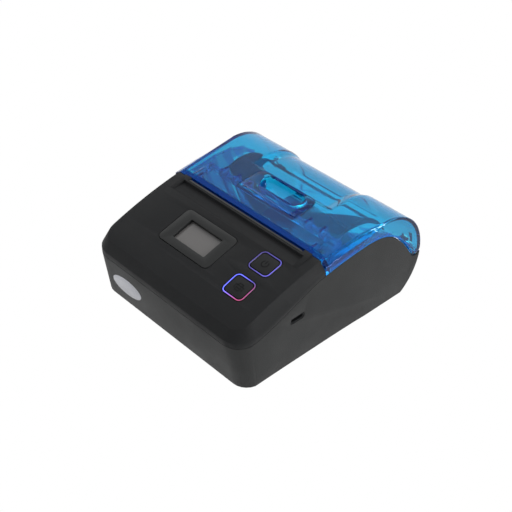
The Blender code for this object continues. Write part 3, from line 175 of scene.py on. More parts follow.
bpy.ops.mesh.primitive_plane_add(size=floor_size)
floor = bpy.context.object
floor.name = "studio_floor"
floor_values = {"Base Color": (0.86, 0.86, 0.86, 1.0), "Roughness": 0.9}
floor_look, tree, shader, output = new_material("studio_floor", floor_values)
floor_glow = add_node(tree, "Emission", {"Color": white, "Strength": 1.0})
mixed = see_white(tree, shader.outputs[0], output)
wire(tree, (floor_glow, 0, mixed, 2))
floor.data.materials.append(floor_look)
floor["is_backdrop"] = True

lamps = (
    ("key_lamp", (1.07, 0.45, 0.46), (0.24, 0.70), 9.0),
    ("fill_lamp", (-0.60, -0.85, 0.45), (0.80, 0.80), 0.6),
    ("back_lamp", (-0.25, 0.70, 0.95), (0.90, 0.90), 8.0),
)
for name, place, size, power in lamps:
    lamp = bpy.data.lights.new(name, "AREA")
    lamp.shape = "RECTANGLE"
    lamp.size, lamp.size_y = size
    lamp.energy = power
    stand = placed(name, lamp)
    stand.location = place
    stand.rotation_euler = (-Vector(place)).to_track_quat("-Z", "Y").to_euler()
    stand.visible_glossy = name != "back_lamp"
print("the room has", len(lamps), "lamps")

# %% [markdown]
# ## Effects that several finishes share
# Moulded plastic is never one flat colour.  The tool that moulds the case is spark eroded, which
# leaves a skin of tiny round pits, and handling adds faint cloudy patches where it shines more.
# Each effect is a node group, built once, and every material takes it at its own scale.

# %% Group: fine pits and cloudy patches


def new_group(name, inputs, outputs):
    """An empty shader node group with float inputs and outputs."""
    group = bpy.data.node_groups.new(name, "ShaderNodeTree")
    for label, value in inputs:
        socket = group.interface.new_socket(label, in_out="INPUT", socket_type="NodeSocketFloat")
        socket.default_value = value
    for label in outputs:
        group.interface.new_socket(label, in_out="OUTPUT", socket_type="NodeSocketFloat")
    start = group.nodes.new("NodeGroupInput")
    end = group.nodes.new("NodeGroupOutput")
    return group, start, end


def make_spark_skin():
    """Pits: height of a spark-eroded skin.  Cloud: a slow patchy value.  Grit: a fine one."""
    inputs = (("Pit Scale", 2600.0), ("Cloud Scale", 60.0))
    group, start, end = new_group("spark_skin", inputs, ("Pits", "Cloud", "Grit"))
    pits = add_node(group, "TexVoronoi", {"Randomness": 1.0}, feature="F1")
    grit = add_node(group, "TexNoise", {"Detail": 3.0, "Roughness": 0.65})
    cloud = add_node(group, "TexNoise", {"Detail": 4.0, "Roughness": 0.55})
    both = add_node(group, "Math", operation="ADD")
    lay_out(group, pits, grit, cloud)
    wire(
        group,
        (start, "Pit Scale", pits, "Scale"),
        (start, "Pit Scale", grit, "Scale"),
        (start, "Cloud Scale", cloud, "Scale"),
        (pits, "Distance", both, 0),
        (grit, "Fac", both, 1),
        (both, 0, end, "Pits"),
        (cloud, "Fac", end, "Cloud"),
        (grit, "Fac", end, "Grit"),
    )
    return group


spark_skin = make_spark_skin()
print("the spark skin group has", len(spark_skin.nodes), "nodes")

# %% Group: straight brushing along one axis


def make_brushing():
    """Lines: a value that hardly changes along X, as brushed metal shows.  Cloud: a slow one."""
    inputs = (("Scale", 900.0), ("Stretch", 0.02))
    group, start, end = new_group("brushing", inputs, ("Lines", "Cloud"))
    place = add_node(group, "TexCoord")
    squeeze = add_node(group, "CombineXYZ", {"Y": 1.0, "Z": 1.0})
    scaled = add_node(group, "VectorMath", operation="MULTIPLY")
    lines = add_node(group, "TexNoise", {"Detail": 2.0})
    cloud = add_node(group, "TexNoise", {"Scale": 120.0, "Detail": 3.0})
    wire(
        group,
        (start, "Stretch", squeeze, "X"),
        (place, "Object", scaled, 0),
        (squeeze, 0, scaled, 1),
        (scaled, 0, lines, "Vector"),
        (start, "Scale", lines, "Scale"),
        (place, "Object", cloud, "Vector"),
        (lines, "Fac", end, "Lines"),
        (cloud, "Fac", end, "Cloud"),
    )
    return group


brushing = make_brushing()
print("the brushing group has", len(brushing.nodes), "nodes")

# %% [markdown]
# ## Finishes
# Each finish starts from a Principled shader.  What is the same all over is set on its sockets.
# What varies comes from a group through a ramp, so the range of each value can be read here.

# %% Moulded plastics and rubber
gloss_change = 0.05


def ramp_between(tree, value, low, high, low_at=0.3, high_at=0.7):
    """Output of a ramp that turns a value into a colour between two."""
    ramp = add_node(tree, "ValToRGB")
    for element, place, color in zip(ramp.color_ramp.elements, (low_at, high_at), (low, high)):
        element.position = place
        element.color = color
    wire(tree, (value, ramp, "Fac"))
    return ramp.outputs["Color"]


def spread_between(tree, value, low, high, low_at=0.3, high_at=0.7):
    """Output that maps a value onto a range."""
    span = {"From Min": low_at, "From Max": high_at, "To Min": low, "To Max": high}
    mapped = add_node(tree, "MapRange", span)
    wire(tree, (value, mapped, "Value"))
    return mapped.outputs["Result"]


def tint(color, factor):
    return (*[c * factor for c in color], 1.0)


def moulded(name, color, roughness, pit_scale, pit_height, specular=0.5, change=0.16, cloud_scale=60.0):
    """Plastic or rubber from a textured tool: fine pits, cloudy gloss, a little colour change."""
    made, tree, shader, output = new_material(name, {"Specular IOR Level": specular})
    scales = {"Pit Scale": pit_scale, "Cloud Scale": cloud_scale}
    skin = add_node(tree, "Group", scales, node_tree=spark_skin)
    bump = add_node(tree, "Bump", {"Strength": 1.0, "Distance": pit_height})
    dark, pale = tint(color, 1 - change), tint(color, 1 + change)
    low, high = roughness - gloss_change, roughness + gloss_change
    wire(
        tree,
        (skin, "Pits", bump, "Height"),
        (bump, "Normal", shader, "Normal"),
        (ramp_between(tree, skin.outputs["Grit"], dark, pale), shader, "Base Color"),
        (spread_between(tree, skin.outputs["Cloud"], low, high), shader, "Roughness"),
    )
    return made


# name, colour, roughness, pit scale, pit height, and then specular, colour change, cloud scale
moulded_looks = (
    ("black_plastic", (0.0185, 0.0190, 0.0198), 0.50, 3200.0, 0.00005, 0.11),
    ("coarse_plastic", (0.0165, 0.0172, 0.0172), 0.58, 1900.0, 0.00008, 0.31),
    ("dark_plastic", (0.014, 0.013, 0.014), 0.50, 2400.0, 0.00003, 0.10),
    ("black_rubber", (0.018, 0.018, 0.019), 0.75, 1800.0, 0.00004),
    ("white_plastic", (0.70, 0.70, 0.67), 0.42, 1500.0, 0.00001, 0.5, 0.03),
    ("satin_window", (0.022, 0.023, 0.023), 0.34, 5200.0, 0.00001, 0.22, 0.08),
    ("key_plastic", (0.023, 0.0235, 0.024), 0.46, 4200.0, 0.00003, 0.10),
    ("head_ceramic", (0.42, 0.40, 0.36), 0.25, 2500.0, 0.000005, 0.5, 0.05),
    ("sign_ink", (0.0045, 0.0045, 0.005), 0.35, 5200.0, 0.00001, 0.05, 0.1),
    ("label_film", (0.74, 0.74, 0.78), 0.32, 900.0, 0.000004, 0.3, 0.05, 120.0),
)
finishes = {look[0]: moulded(*look) for look in moulded_looks}
print("there are", len(finishes), "moulded finishes")

# %% Metals


def worked_metal(name, color, roughness, line_scale, stretch):
    """Rolled or brushed metal: lines along X in gloss and height, and faint cloudy tarnish."""
    made, tree, shader, output = new_material(name, {"Metallic": 1.0})
    scales = {"Scale": line_scale, "Stretch": stretch}
    grain = add_node(tree, "Group", scales, node_tree=brushing)
    bump = add_node(tree, "Bump", {"Strength": 0.5, "Distance": 0.00002})
    dark, pale = tint(color, 0.86), tint(color, 1.08)
    low, high = roughness - 0.08, roughness + 0.12
    wire(
        tree,
        (grain, "Lines", bump, "Height"),
        (bump, "Normal", shader, "Normal"),
        (ramp_between(tree, grain.outputs["Cloud"], dark, pale), shader, "Base Color"),
        (spread_between(tree, grain.outputs["Lines"], low, high), shader, "Roughness"),
    )
    return made


# name, colour, roughness, scale of the lines, stretch along X
metal_looks = (
    ("steel", (0.60, 0.60, 0.61), 0.30, 2400.0, 0.03),
    ("dark_steel", (0.06, 0.062, 0.065), 0.38, 2400.0, 0.03),
    ("aluminium", (0.55, 0.56, 0.57), 0.36, 1600.0, 0.02),
)
finishes.update({look[0]: worked_metal(*look) for look in metal_looks})
print("there are", len(finishes), "finishes with the metals")

# %% [markdown]
# ## The clear blue plastic
# The cover and its latch are moulded from a clear polycarbonate with a blue dye.  The dye takes
# away red fast, green slowly and blue hardly at all, so a thin wall looks pale cyan and the long
# way through a lip looks deep blue.  That is what volume absorption does, so the colour isn't
# painted on the surface.  Light from the lamps passes through the skin as if it weren't bent,
# which lights the parts inside without the noise of real caustics.  Two marks on the cover's
# faces, lip and rib, add a share of plain diffuse blue where thick or rough plastic looks hazy.
# On the lowest strip of the cheeks, the rib mark's blue is painted light instead: it stands for
# the light that the edge of the rim gathers.

# %% Clear blue plastic
wall_thickness = 0.0018
wall_haze = 0.036
# the rib share and its blue are haze on the brackets, and painted light of the gathered edge light on the rim
# strip
rib_haze_and_rim_light = 0.22
lip_haze = 0.72
wall_passes = (0.090, 0.660, 0.830)
faint_blue = (0.0, 0.14, 0.75, 1.0)
rib_haze_and_rim_light_blue = (0.02, 0.20, 0.60, 1.0)
lip_blue = (0.003, 0.045, 0.26, 1.0)
lamp_passes = (0.92, 0.92, 0.92, 1.0)


def clear_blue():
    """Clear dyed plastic whose absorption is worked out from what one wall lets through."""
    glass = {"Base Color": white, "Roughness": 0.03, "IOR": 1.46, "Transmission Weight": 1.0}
    glass["Specular Tint"] = (0.45, 0.60, 1.0, 1.0)
    made, tree, shader, output = new_material("clear_blue_plastic", glass)
    lip = add_node(tree, "Attribute", attribute_name="lip")
    rib = add_node(tree, "Attribute", attribute_name="rib")
    values = {1: rib_haze_and_rim_light, 2: wall_haze}
    share = add_node(tree, "Math", values, operation="MULTIPLY_ADD", use_clamp=True)
    most = add_node(tree, "Math", {1: lip_haze}, operation="MULTIPLY")
    whole = add_node(tree, "Math", operation="MAXIMUM")
    blend = add_node(tree, "Mix", {"B": lip_blue}, data_type="RGBA")
    haze = add_node(tree, "BsdfDiffuse")
    hazed = add_node(tree, "MixShader")
    wire(
        tree,
        (rib, "Fac", share, 0),
        (lip, "Fac", most, 0),
        (share, 0, whole, 0),
        (most, 0, whole, 1),
        (whole, 0, hazed, 0),
        (lip, "Fac", blend, "Factor"),
        (ramp_between(tree, rib.outputs["Fac"], faint_blue, rib_haze_and_rim_light_blue, 0.0, 1.0), blend, "A"),
        (blend, "Result", haze, "Color"),
    )
    take = [-log(passes) / wall_thickness for passes in wall_passes]
    density = max(take)
    color = (*[1 - t / density for t in take], 1.0)
    dye = add_node(tree, "VolumeAbsorption", {"Color": color, "Density": density})
    path = add_node(tree, "LightPath")
    passing = add_node(tree, "BsdfTransparent", {"Color": lamp_passes})
    mixed = add_node(tree, "MixShader")
    wire(
        tree,
        (path, "Is Shadow Ray", mixed, 0),
        (shader, 0, hazed, 1),
        (haze, 0, hazed, 2),
        (hazed, 0, mixed, 1),
        (passing, 0, mixed, 2),
        (mixed, 0, output, "Surface"),
        (dye, 0, output, "Volume"),
    )
    print("the dye takes", [round(t) for t in take], "of red, green and blue in each metre")
    return made


finishes["clear_blue_plastic"] = clear_blue()

# %% Light rings, display glass and circuit boards


def lit_ring():
    """Milky plastic lit from below: how bright and how warm come from the ring's own marks.  Its colour runs
    from milky where it glows to nearly black on the unlit shoulders, painted shade along the lit line's
    edges.
    """
    made, tree, shader, output = new_material("light_ring", {"Roughness": 0.35})
    glow = add_node(tree, "Attribute", attribute_name="glow")
    warm = add_node(tree, "Attribute", attribute_name="warm")
    skin = add_node(tree, "Group", {"Cloud Scale": 400.0}, node_tree=spark_skin)
    color = add_node(tree, "ValToRGB")
    blue, violet, red = (0.10, 0.13, 1.0, 1.0), (0.30, 0.14, 0.75, 1.0), (0.90, 0.07, 0.12, 1.0)
    steps = ((0.0, blue), (0.45, violet), (1.0, red))
    color.color_ramp.elements.new(steps[1][0])
    for element, (position, value) in zip(color.color_ramp.elements, steps):
        element.position = position
        element.color = value
    power = add_node(tree, "Math", operation="MULTIPLY")
    # dark is painted shade for the unlit shoulders, milky is the colour of the lit band
    dark, milky = (0.004, 0.004, 0.012, 1.0), (0.08, 0.08, 0.35, 1.0)
    wire(
        tree,
        (warm, "Fac", color, "Fac"),
        (color, "Color", shader, "Emission Color"),
        (ramp_between(tree, glow.outputs["Fac"], dark, milky, 0.1, 0.8), shader, "Base Color"),
        (glow, "Fac", power, 0),
        (spread_between(tree, skin.outputs["Cloud"], 0.80, 1.05), power, 1),
        (power, 0, shader, "Emission Strength"),
    )
    return made


def display_cover():
    """Grey glass of a switched-off display, with the faint grid of its dots behind it."""
    made, tree, shader, output = new_material("display_glass")
    dots = {"Scale": 1.0, "Mortar Size": 0.00003, "Brick Width": 0.0003, "Row Height": 0.0003}
    dots.update({"Color1": (0.158, 0.150, 0.146, 1.0), "Color2": (0.164, 0.156, 0.150, 1.0)})
    grid = add_node(tree, "TexBrick", {**dots, "Mortar": (0.130, 0.124, 0.121, 1.0)}, offset=0.0)
    cloud = add_node(tree, "TexNoise", {"Scale": 90.0, "Detail": 2.0})
    lay_out(tree, grid, cloud)
    wire(
        tree,
        (grid, "Color", shader, "Base Color"),
        (spread_between(tree, cloud.outputs["Fac"], 0.10, 0.18), shader, "Roughness"),
    )
    return made


def printed_board():
    """Green solder mask over copper tracks, which show as lighter lines, and round pads."""
    made, tree, shader, output = new_material("circuit_board")
    lines = {"Scale": 1.0, "Mortar Size": 0.00022, "Brick Width": 0.0061, "Row Height": 0.0013}
    lines.update({"Color1": (0.012, 0.090, 0.040, 1.0), "Color2": (0.014, 0.100, 0.046, 1.0)})
    tracks = add_node(tree, "TexBrick", {**lines, "Mortar": (0.035, 0.190, 0.080, 1.0)})
    pads = add_node(tree, "TexVoronoi", {"Scale": 420.0, "Randomness": 0.55}, feature="F1")
    bump = add_node(tree, "Bump", {"Strength": 0.6, "Distance": 0.00005})
    blend = add_node(tree, "Mix", {"B": (0.55, 0.53, 0.48, 1.0)}, data_type="RGBA")
    lay_out(tree, tracks, pads)
    wire(
        tree,
        (spread_between(tree, pads.outputs["Distance"], 1.0, 0.0, 0.12, 0.16), blend, "Factor"),
        (tracks, "Color", blend, "A"),
        (blend, "Result", shader, "Base Color"),
        (tracks, "Fac", bump, "Height"),
        (bump, "Normal", shader, "Normal"),
        (spread_between(tree, pads.outputs["Distance"], 0.25, 0.42, 0.0, 1.0), shader, "Roughness"),
    )
    return made


finishes["light_ring"] = lit_ring()
finishes["display_glass"] = display_cover()
finishes["circuit_board"] = printed_board()
print("with these there are", len(finishes), "finishes")

# %% [markdown]
# ## Dressed copies of the CAD parts
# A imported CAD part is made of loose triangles.  A copy is merged, its flat triangles are joined
# to whole faces, its sharp edges get a small round as every moulded edge has, and it is shaded
# smooth.  The copy then stands for the part and rides on the same body.

# %% Helpers: finish a piece and dress a node


def only(piece):
    """Makes one object the only selected and active one."""
    bpy.ops.object.select_all(action="DESELECT")
    piece.select_set(True)
    bpy.context.view_layer.objects.active = piece


def finished(piece, body, slot, replaced=(), sharp=32.0, edge=0.0, miter="MITER_SHARP"):
    """Rounds the edges if asked, shades it smooth, gives it its finish and lets it ride."""
    only(piece)
    if edge:
        bevel = piece.modifiers.new("edge_round", "BEVEL")
        bevel.width = edge
        bevel.segments = 2
        bevel.limit_method = "ANGLE"
        bevel.angle_limit = radians(sharp)
        bevel.miter_outer = miter
        bpy.ops.object.modifier_apply(modifier=bevel.name)
    bpy.ops.object.shade_smooth_by_angle(angle=radians(sharp))
    piece.data.materials.clear()
    piece.data.materials.append(finishes[slot])
    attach(piece, body)
    if replaced:
        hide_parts(*replaced)
    return piece


def dressed(node, name, edge):
    """A merged, rounded and smooth copy of a CAD node, with the node's finish."""
    piece = placed(name, nodes[node].data.copy())
    only(piece)
    bpy.ops.object.mode_set(mode="EDIT")
    bpy.ops.mesh.select_all(action="SELECT")
    bpy.ops.mesh.customdata_custom_splitnormals_clear()
    bpy.ops.mesh.remove_doubles(threshold=0.000005)
    bpy.ops.mesh.dissolve_limited(angle_limit=radians(0.6))
    bpy.ops.object.mode_set(mode="OBJECT")
    return finished(piece, body_of_node[node], slot_of_node[node], (node,), 28.0, edge, "MITER_ARC")


# %% Dress the parts
# node: name of its copy, and how far its edges are rounded
dressed_parts = {
    "top_case": ("panel_housing", 0.0003),
    "lower_case": ("base_housing", 0.0003),
    "display_frame": ("window_surround", 0.0002),
    "power_key": ("power_cap", 0.0),
    "feed_key": ("feed_cap", 0.0),
    "tear_bar": ("toothed_bar", 0.00005),
    "paper_bucket": ("bucket_shell", 0.0002),
    "mech_frame": ("printer_chassis", 0.0002),
    "platen_rubber": ("platen_roller", 0.0002),
    "platen_shaft": ("platen_axle", 0.0001),
    "platen_gear": ("platen_wheel", 0.00004),
    "idler_gear": ("idler_wheel", 0.00004),
    "motor_pinion": ("motor_wheel", 0.00004),
    "feed_motor": ("stepper_can", 0.0002),
    "thermal_head": ("print_head", 0.0001),
    "heatsink": ("head_sink", 0.0001),
    "battery_pack": ("battery_case", 0.0003),
    "usb_port": ("port_shell", 0.00005),
}
pieces = {node: dressed(node, *look) for node, look in dressed_parts.items()}
pieces["lower_case"].data.materials[0] = finishes["coarse_plastic"]
# The port's shell gets dark steel in place of its own steel: painted shade for the dark inside of its slot.
pieces["usb_port"].data.materials[0] = finishes["dark_steel"]
for node, thing in nodes.items():
    if node not in pieces:
        thing.data.materials.clear()
        thing.data.materials.append(finishes[slot_of_node[node]])
print("dressed", len(pieces), "of", len(nodes), "parts")

# %% [markdown]
# ## The clear cover
# The cover is one moulding: a sloped top that rolls into a barrel over the paper bucket, flat
# cheeks at both ends, a sloped shoulder between them, a shallow valley behind the latch and a
# thick lip in front.  Clear plastic shows every flaw of its mesh, because each bent normal bends
# what is seen through it.  So it isn't a copy of the CAD shell.  Two closed forms, the outside
# what is seen through it.  So it isn't a copy of the CAD shell.  Two forms, the outside and the
# space inside, are lofted through even rows of points from the same sizes as the CAD part, and a
# Boolean takes one from the other.  Known fault: below the rim it leaves the cheeks of the space,
# which are hidden in the case's walls at rest and show as pale sheets when the cover is open.

# %% Sizes of the case that the cover follows
case_depth = 0.1276
half_width = 0.056
panel_front_y = 0.0036
panel_front_z = 0.0355
top_power = 2.13
barrel_radius = 0.0293
barrel_y = case_depth - barrel_radius
barrel_z = 0.0250
cover_height = barrel_z + barrel_radius
seam_end_z = 0.0434
lip_height = 0.0033
tab_radius = 0.0034
tab_angle = radians(0.0)
seat_angle = radians(200.0)
hinge_y = barrel_y + (barrel_radius - tab_radius) * cos(tab_angle)
hinge_z = barrel_z + (barrel_radius - tab_radius) * sin(tab_angle)
cover_front_y = 0.0561
rim_gap = 0.0003
rim_peak_y = 0.086
rim_peak_z = 0.0468
rim_fall_power = 2.6
rim_rise_power = 1.5
rim_spacing = 0.8


def top_line(y):
    """Height of the upper surface, from the panel's front edge to the top of the barrel."""
    t = min(max((y - panel_front_y) / (barrel_y - panel_front_y), 0.0), 1.0)
    return panel_front_z + (cover_height - panel_front_z) * (1 - (1 - t) ** top_power)


def rim_line(y, end_y, end_z):
    """Height of the edge that the cheeks close on."""
    if y < rim_peak_y:
        t = (rim_peak_y - y) / (rim_peak_y - cover_front_y)
        return rim_peak_z - (rim_peak_z - seam_end_z) * t**rim_rise_power
    t = min((y - rim_peak_y) / (end_y - rim_peak_y), 1.0)
    return rim_peak_z - (rim_peak_z - end_z) * t**rim_fall_power


def spread(start, end, steps):
    """Even places from start to end, both included."""
    return [start + (end - start) * i / steps for i in range(steps + 1)]


def smooth(t):
    """Rises from 0 to 1 without a kink."""
    t = min(max(t, 0.0), 1.0)
    return t * t * (3 - 2 * t)


print("the top line ends at", round(1000 * top_line(barrel_y), 2), "mm")

# %% Rows of the cover, from its front over the barrel and round the hinge
slope_rows = 44
ramp_rows = 8
barrel_rows = 64
tab_rows = 14
shoulder_end_y = 0.0985
chamfer_run = 0.0036
edge_softness = 0.0003
valley_start_y = 0.0868
valley_ramp = 0.0009
valley_depth = 0.0015
valley_top_half = 0.0300
valley_floor_half = 0.0240
valley_end_angle = radians(8.0)
valley_end_ramp = radians(6.0)
seat_overrun = radians(14.0)
wedge_half = 0.0450
wedge_edge = 0.0006
wedge_end_y = 0.0760
wedge_rise = 0.0010
lip_thickness = 0.0031


def cover_rows(drop, front_y, tab_end):
    """Rows as (y, z, outward y, outward z, y or angle of the row), sunk by drop."""
    rows = []
    step = edge_softness
    ramp_end = valley_start_y + valley_ramp
    places = spread(front_y, valley_start_y, slope_rows)[:-1]
    places += spread(valley_start_y, ramp_end, ramp_rows)[:-1]
    places += spread(ramp_end, barrel_y, slope_rows // 4)[:-1]
    for y in places:
        rise = (top_line(y + step) - top_line(y - step)) / (2 * step)
        length = hypot(1.0, rise)
        rows.append((y + drop * rise / length, top_line(y) - drop / length, -rise / length, 1 / length, y))
    for a in spread(pi / 2, tab_angle, barrel_rows):
        r = barrel_radius - drop
        rows.append((barrel_y + r * cos(a), barrel_z + r * sin(a), cos(a), sin(a), barrel_y + pi / 2 - a))
    for a in spread(tab_angle, tab_end, tab_rows)[1:]:
        r = tab_radius - drop
        rows.append((hinge_y + r * cos(a), hinge_z + r * sin(a), cos(a), sin(a), barrel_y + pi / 2 - a))
    return rows


def surface_lift(x, along):
    """How far the skin stands above the plain row: the raised front, less the valley."""
    lift = 0.0
    if along < wedge_end_y:
        t = max((along - cover_front_y) / (wedge_end_y - cover_front_y), 0.0)
        lift += wedge_rise * (1 - t) ** 2 * smooth((wedge_half + wedge_edge - abs(x)) / (2 * wedge_edge))
    if along > valley_start_y:
        start = smooth((along - valley_start_y) / valley_ramp)
        end = 1.0
        if along > barrel_y:
            angle = barrel_y + pi / 2 - along
            end = smooth((angle - valley_end_angle) / valley_end_ramp)
        across = smooth((valley_top_half - abs(x)) / (valley_top_half - valley_floor_half))
        lift -= valley_depth * start * end * across
    return lift


def rim_places(radius, lift, rows):
    """For each row, the point of the rim that its cheek ends on."""
    end_y = hinge_y + radius * cos(seat_angle)
    end_z = hinge_z + radius * sin(seat_angle)
    reach = end_y - cover_front_y
    beyond = [i for i, row in enumerate(rows) if row[0] > rim_peak_y]
    first = beyond[0]
    places = []
    for i, row in enumerate(rows):
        if i < first:
            y = row[0]
        else:
            t = (i - first + 1) / (len(rows) - first)
            y = rim_peak_y + (end_y - rim_peak_y) * t**rim_spacing
        y = min(y, end_y)
        places.append((y, rim_line(y, end_y, end_z) + lift * (1 - ((y - cover_front_y) / reach) ** 2)))
    return places


outside_rows = cover_rows(0.0, cover_front_y, seat_angle - 2 * pi + seat_overrun)
inside_rows = cover_rows(wall_thickness, cover_front_y + lip_thickness, -pi / 2)
print("the outside has", len(outside_rows), "rows and the space", len(inside_rows))

# %% Loft of one closed form
columns = (
    spread(0.0, 0.0235, 10)
    + spread(0.0235, 0.0305, 10)[1:]
    + spread(0.0305, wedge_half - wedge_edge, 8)[1:]
    + spread(wedge_half - wedge_edge, wedge_half + wedge_edge, 6)[1:]
    + spread(wedge_half + wedge_edge, 0.0500, 3)[1:]
)
cheek_steps = 12
round_steps = 3
merge_distance = 0.000002
inner_chamfer_share = 0.73


def corner_points(run, fall, softness):
    """Section of the shoulder as (distance in from the cheek, distance down from the top)."""
    length = hypot(run, fall)
    share = min(softness / length, 0.5)
    points = [(run + 3 * softness, 0.0)]
    corners = (
        ((run + softness, 0.0), (run, 0.0), (run * (1 - share), fall * share)),
        ((run * share, fall * (1 - share)), (0.0, fall), (0.0, fall + softness)),
    )
    for a, b, c in corners:
        if len(points) > 1:
            points += [(run * (1 - t), fall * t) for t in (2 * share, 0.5, 1 - 2 * share)]
        for t in spread(0.0, 1.0, round_steps):
            u = (1 - t) ** 2
            v = 2 * t * (1 - t)
            w = t * t
            points.append((u * a[0] + v * b[0] + w * c[0], u * a[1] + v * b[1] + w * c[1]))
    return points


def bridge(form, first, second):
    """Faces between two loops of points, all the way round."""
    for i in range(len(first)):
        j = (i + 1) % len(first)
        form.faces.new((first[i], first[j], second[j], second[i]))


def closed(name, form):
    """Turns the faces of a form outward and makes an object of it."""
    bmesh.ops.recalc_face_normals(form, faces=form.faces)
    mesh = bpy.data.meshes.new(name)
    form.to_mesh(mesh)
    form.free()
    return placed(name, mesh)


def lofted(name, rows, ends, side_x, chamfer_share):
    """Closed form through the rows, whose cheeks end on the given points."""
    form = bmesh.new()
    loops = []
    for (y, z, out_y, out_z, along), (end_y, end_z) in zip(rows, ends):
        t = max((min(along, shoulder_end_y) - cover_front_y) / (shoulder_end_y - cover_front_y), 0.0)
        fade = chamfer_share * (1 - t * t)
        run = max(chamfer_run * fade, edge_softness)
        fall = max((top_line(min(along, barrel_y)) - seam_end_z - lip_height) * fade, edge_softness)
        down = Vector((end_y - y, end_z - z))
        reach = down.length
        corner = corner_points(run, min(fall, reach / 3), min(edge_softness, reach / 8))
        if reach > 0:
            down.normalize()
        right = [(x, y + out_y * surface_lift(x, along), z + out_z * surface_lift(x, along)) for x in columns]
        edge_lift = surface_lift(side_x, along)
        for inward, below in corner:
            spot = (y + out_y * edge_lift + down.x * below, z + out_z * edge_lift + down.y * below)
            right.append((side_x - inward, *spot))
        below_start = corner[-1][1]
        for share in spread(0.0, 1.0, cheek_steps)[1:]:
            below = below_start + (reach - below_start) * share
            right.append((side_x, y + down.x * below, z + down.y * below))
        left = [(-x, v, w) for x, v, w in reversed(right[1:])]
        loops.append([form.verts.new(p) for p in left + right])
    count = len(loops[0])
    for first, second in zip(loops, loops[1:]):
        bridge(form, first, second)
    half = count // 2
    for loop, turn in ((loops[0], 1), (loops[-1], -1)):
        for i in range(half):
            quad = [loop[i], loop[i + 1], loop[count - 2 - i], loop[count - 1 - i]]
            if len(set(quad)) > 2:
                form.faces.new(list(dict.fromkeys(quad))[::turn])
    bmesh.ops.remove_doubles(form, verts=form.verts, dist=merge_distance)
    bmesh.ops.translate(form, verts=form.verts, vec=(0.0, -case_depth / 2, 0.0))
    return closed(name, form)


# %% Helpers: slabs, Booleans and marks


def arc(center, radius, start, end, steps):
    """Points of an arc in the side view."""
    return [(center[0] + radius * cos(a), center[1] + radius * sin(a)) for a in spread(start, end, steps)]


def circle(center, radius, step):
    """Points all round a circle, a number of degrees apart."""
    return arc(center, radius, 0.0, radians(360.0 - step), round(360.0 / step) - 1)


def low_side(side, inner, thickness):
    """Low X of a plate on one side, whose inner face is at a distance from the middle."""
    return side * (inner + thickness / 2) - thickness / 2


def slab(name, outline, low, high, axis=0):
    """Outline of (y, z) drawn at low X and extruded to high X, or of (x, y) extruded along Z."""
    if axis == 0:
        points = [(low, u - case_depth / 2, v) for u, v in outline]
        way = (high - low, 0.0, 0.0)
    else:
        points = [(u, v - case_depth / 2, low) for u, v in outline]
        way = (0.0, 0.0, high - low)
    mesh = bpy.data.meshes.new(name)
    mesh.from_pydata(points, [], [tuple(range(len(points)))])
    made = placed(name, mesh)
    only(made)
    bpy.ops.object.mode_set(mode="EDIT")
    bpy.ops.mesh.select_all(action="SELECT")
    bpy.ops.mesh.extrude_region_move(TRANSFORM_OT_translate={"value": way})
    bpy.ops.mesh.select_all(action="SELECT")
    bpy.ops.mesh.normals_make_consistent(inside=False)
    bpy.ops.object.mode_set(mode="OBJECT")
    return made


def boolean(target, tool, operation="UNION"):
    """Applies one exact Boolean to the target and deletes the tool."""
    step = target.modifiers.new("step", "BOOLEAN")
    step.operation = operation
    step.object = tool
    step.solver = "EXACT"
    only(target)
    bpy.ops.object.modifier_apply(modifier=step.name)
    bpy.data.objects.remove(tool)
    return target


def mark(piece, label, rule):
    """Writes a value on each face, worked out from its middle, for the material to read."""
    layer = piece.data.attributes.new(label, "FLOAT", "FACE")
    for i, face in enumerate(piece.data.polygons):
        x, y, z = face.center
        layer.data[i].value = rule(x, y + case_depth / 2, z)


# %% Outside less the space inside
hinge = (hinge_y, hinge_z)
low_z = hinge_z - 2 * tab_radius
outside = lofted("clear_cover", outside_rows, rim_places(tab_radius, rim_gap, outside_rows), half_width, 1.0)
inside_ends = [(y, low_z) for y in spread(inside_rows[0][0], hinge_y, len(inside_rows) - 1)]
space = lofted("cover_space", inside_rows, inside_ends, half_width - wall_thickness, inner_chamfer_share)
cover = boolean(outside, space, "DIFFERENCE")
print("the shell has", len(cover.data.polygons), "faces")

# %% Mouth, latch opening and the hinge's notches
platen_y = 0.0602
platen_z = 0.0450
lip_depth = 0.0021
mouth_half = 0.0517
lever_half = 0.0205
lever_back_y = 0.0864
lever_axis_y = 0.0737
lever_axis_drop = 0.0048
lever_corner = 0.0042
latch_gap = 0.0003
lever_nose = 0.8 * lever_axis_drop
lever_axis = (lever_axis_y, top_line(lever_axis_y) - lever_axis_drop)
lever_radius = hypot(lever_axis_drop, lever_nose)
ear_inner_x = 0.0440
ear_thickness = 0.0032
spare = 0.002
mouth_front_y = 0.05
opening_back_y = 0.089
opening_drop = 0.001
plan_front_y = 0.060
plan_low_z = 0.02
plan_high_z = 0.07


def tongue_plan(name, half, back, radius):
    """Slab with the latch's outline from above: straight sides and two round back corners."""
    plan = arc((half - radius, back - radius), radius, 0.0, pi / 2, 16)
    plan += arc((radius - half, back - radius), radius, pi / 2, pi, 16)
    plan += [(-half, plan_front_y), (half, plan_front_y)]
    return slab(name, plan, plan_low_z, plan_high_z, axis=2)


mouth_top = top_line(cover_front_y) + wedge_rise - lip_depth
mouth_back_y = cover_front_y + lip_thickness + latch_gap
mouth = [(mouth_front_y, low_z), (mouth_back_y, low_z)]
mouth += [(mouth_back_y, mouth_top), (mouth_front_y, mouth_top)]
boolean(cover, slab("mouth", mouth, -mouth_half, mouth_half), "DIFFERENCE")

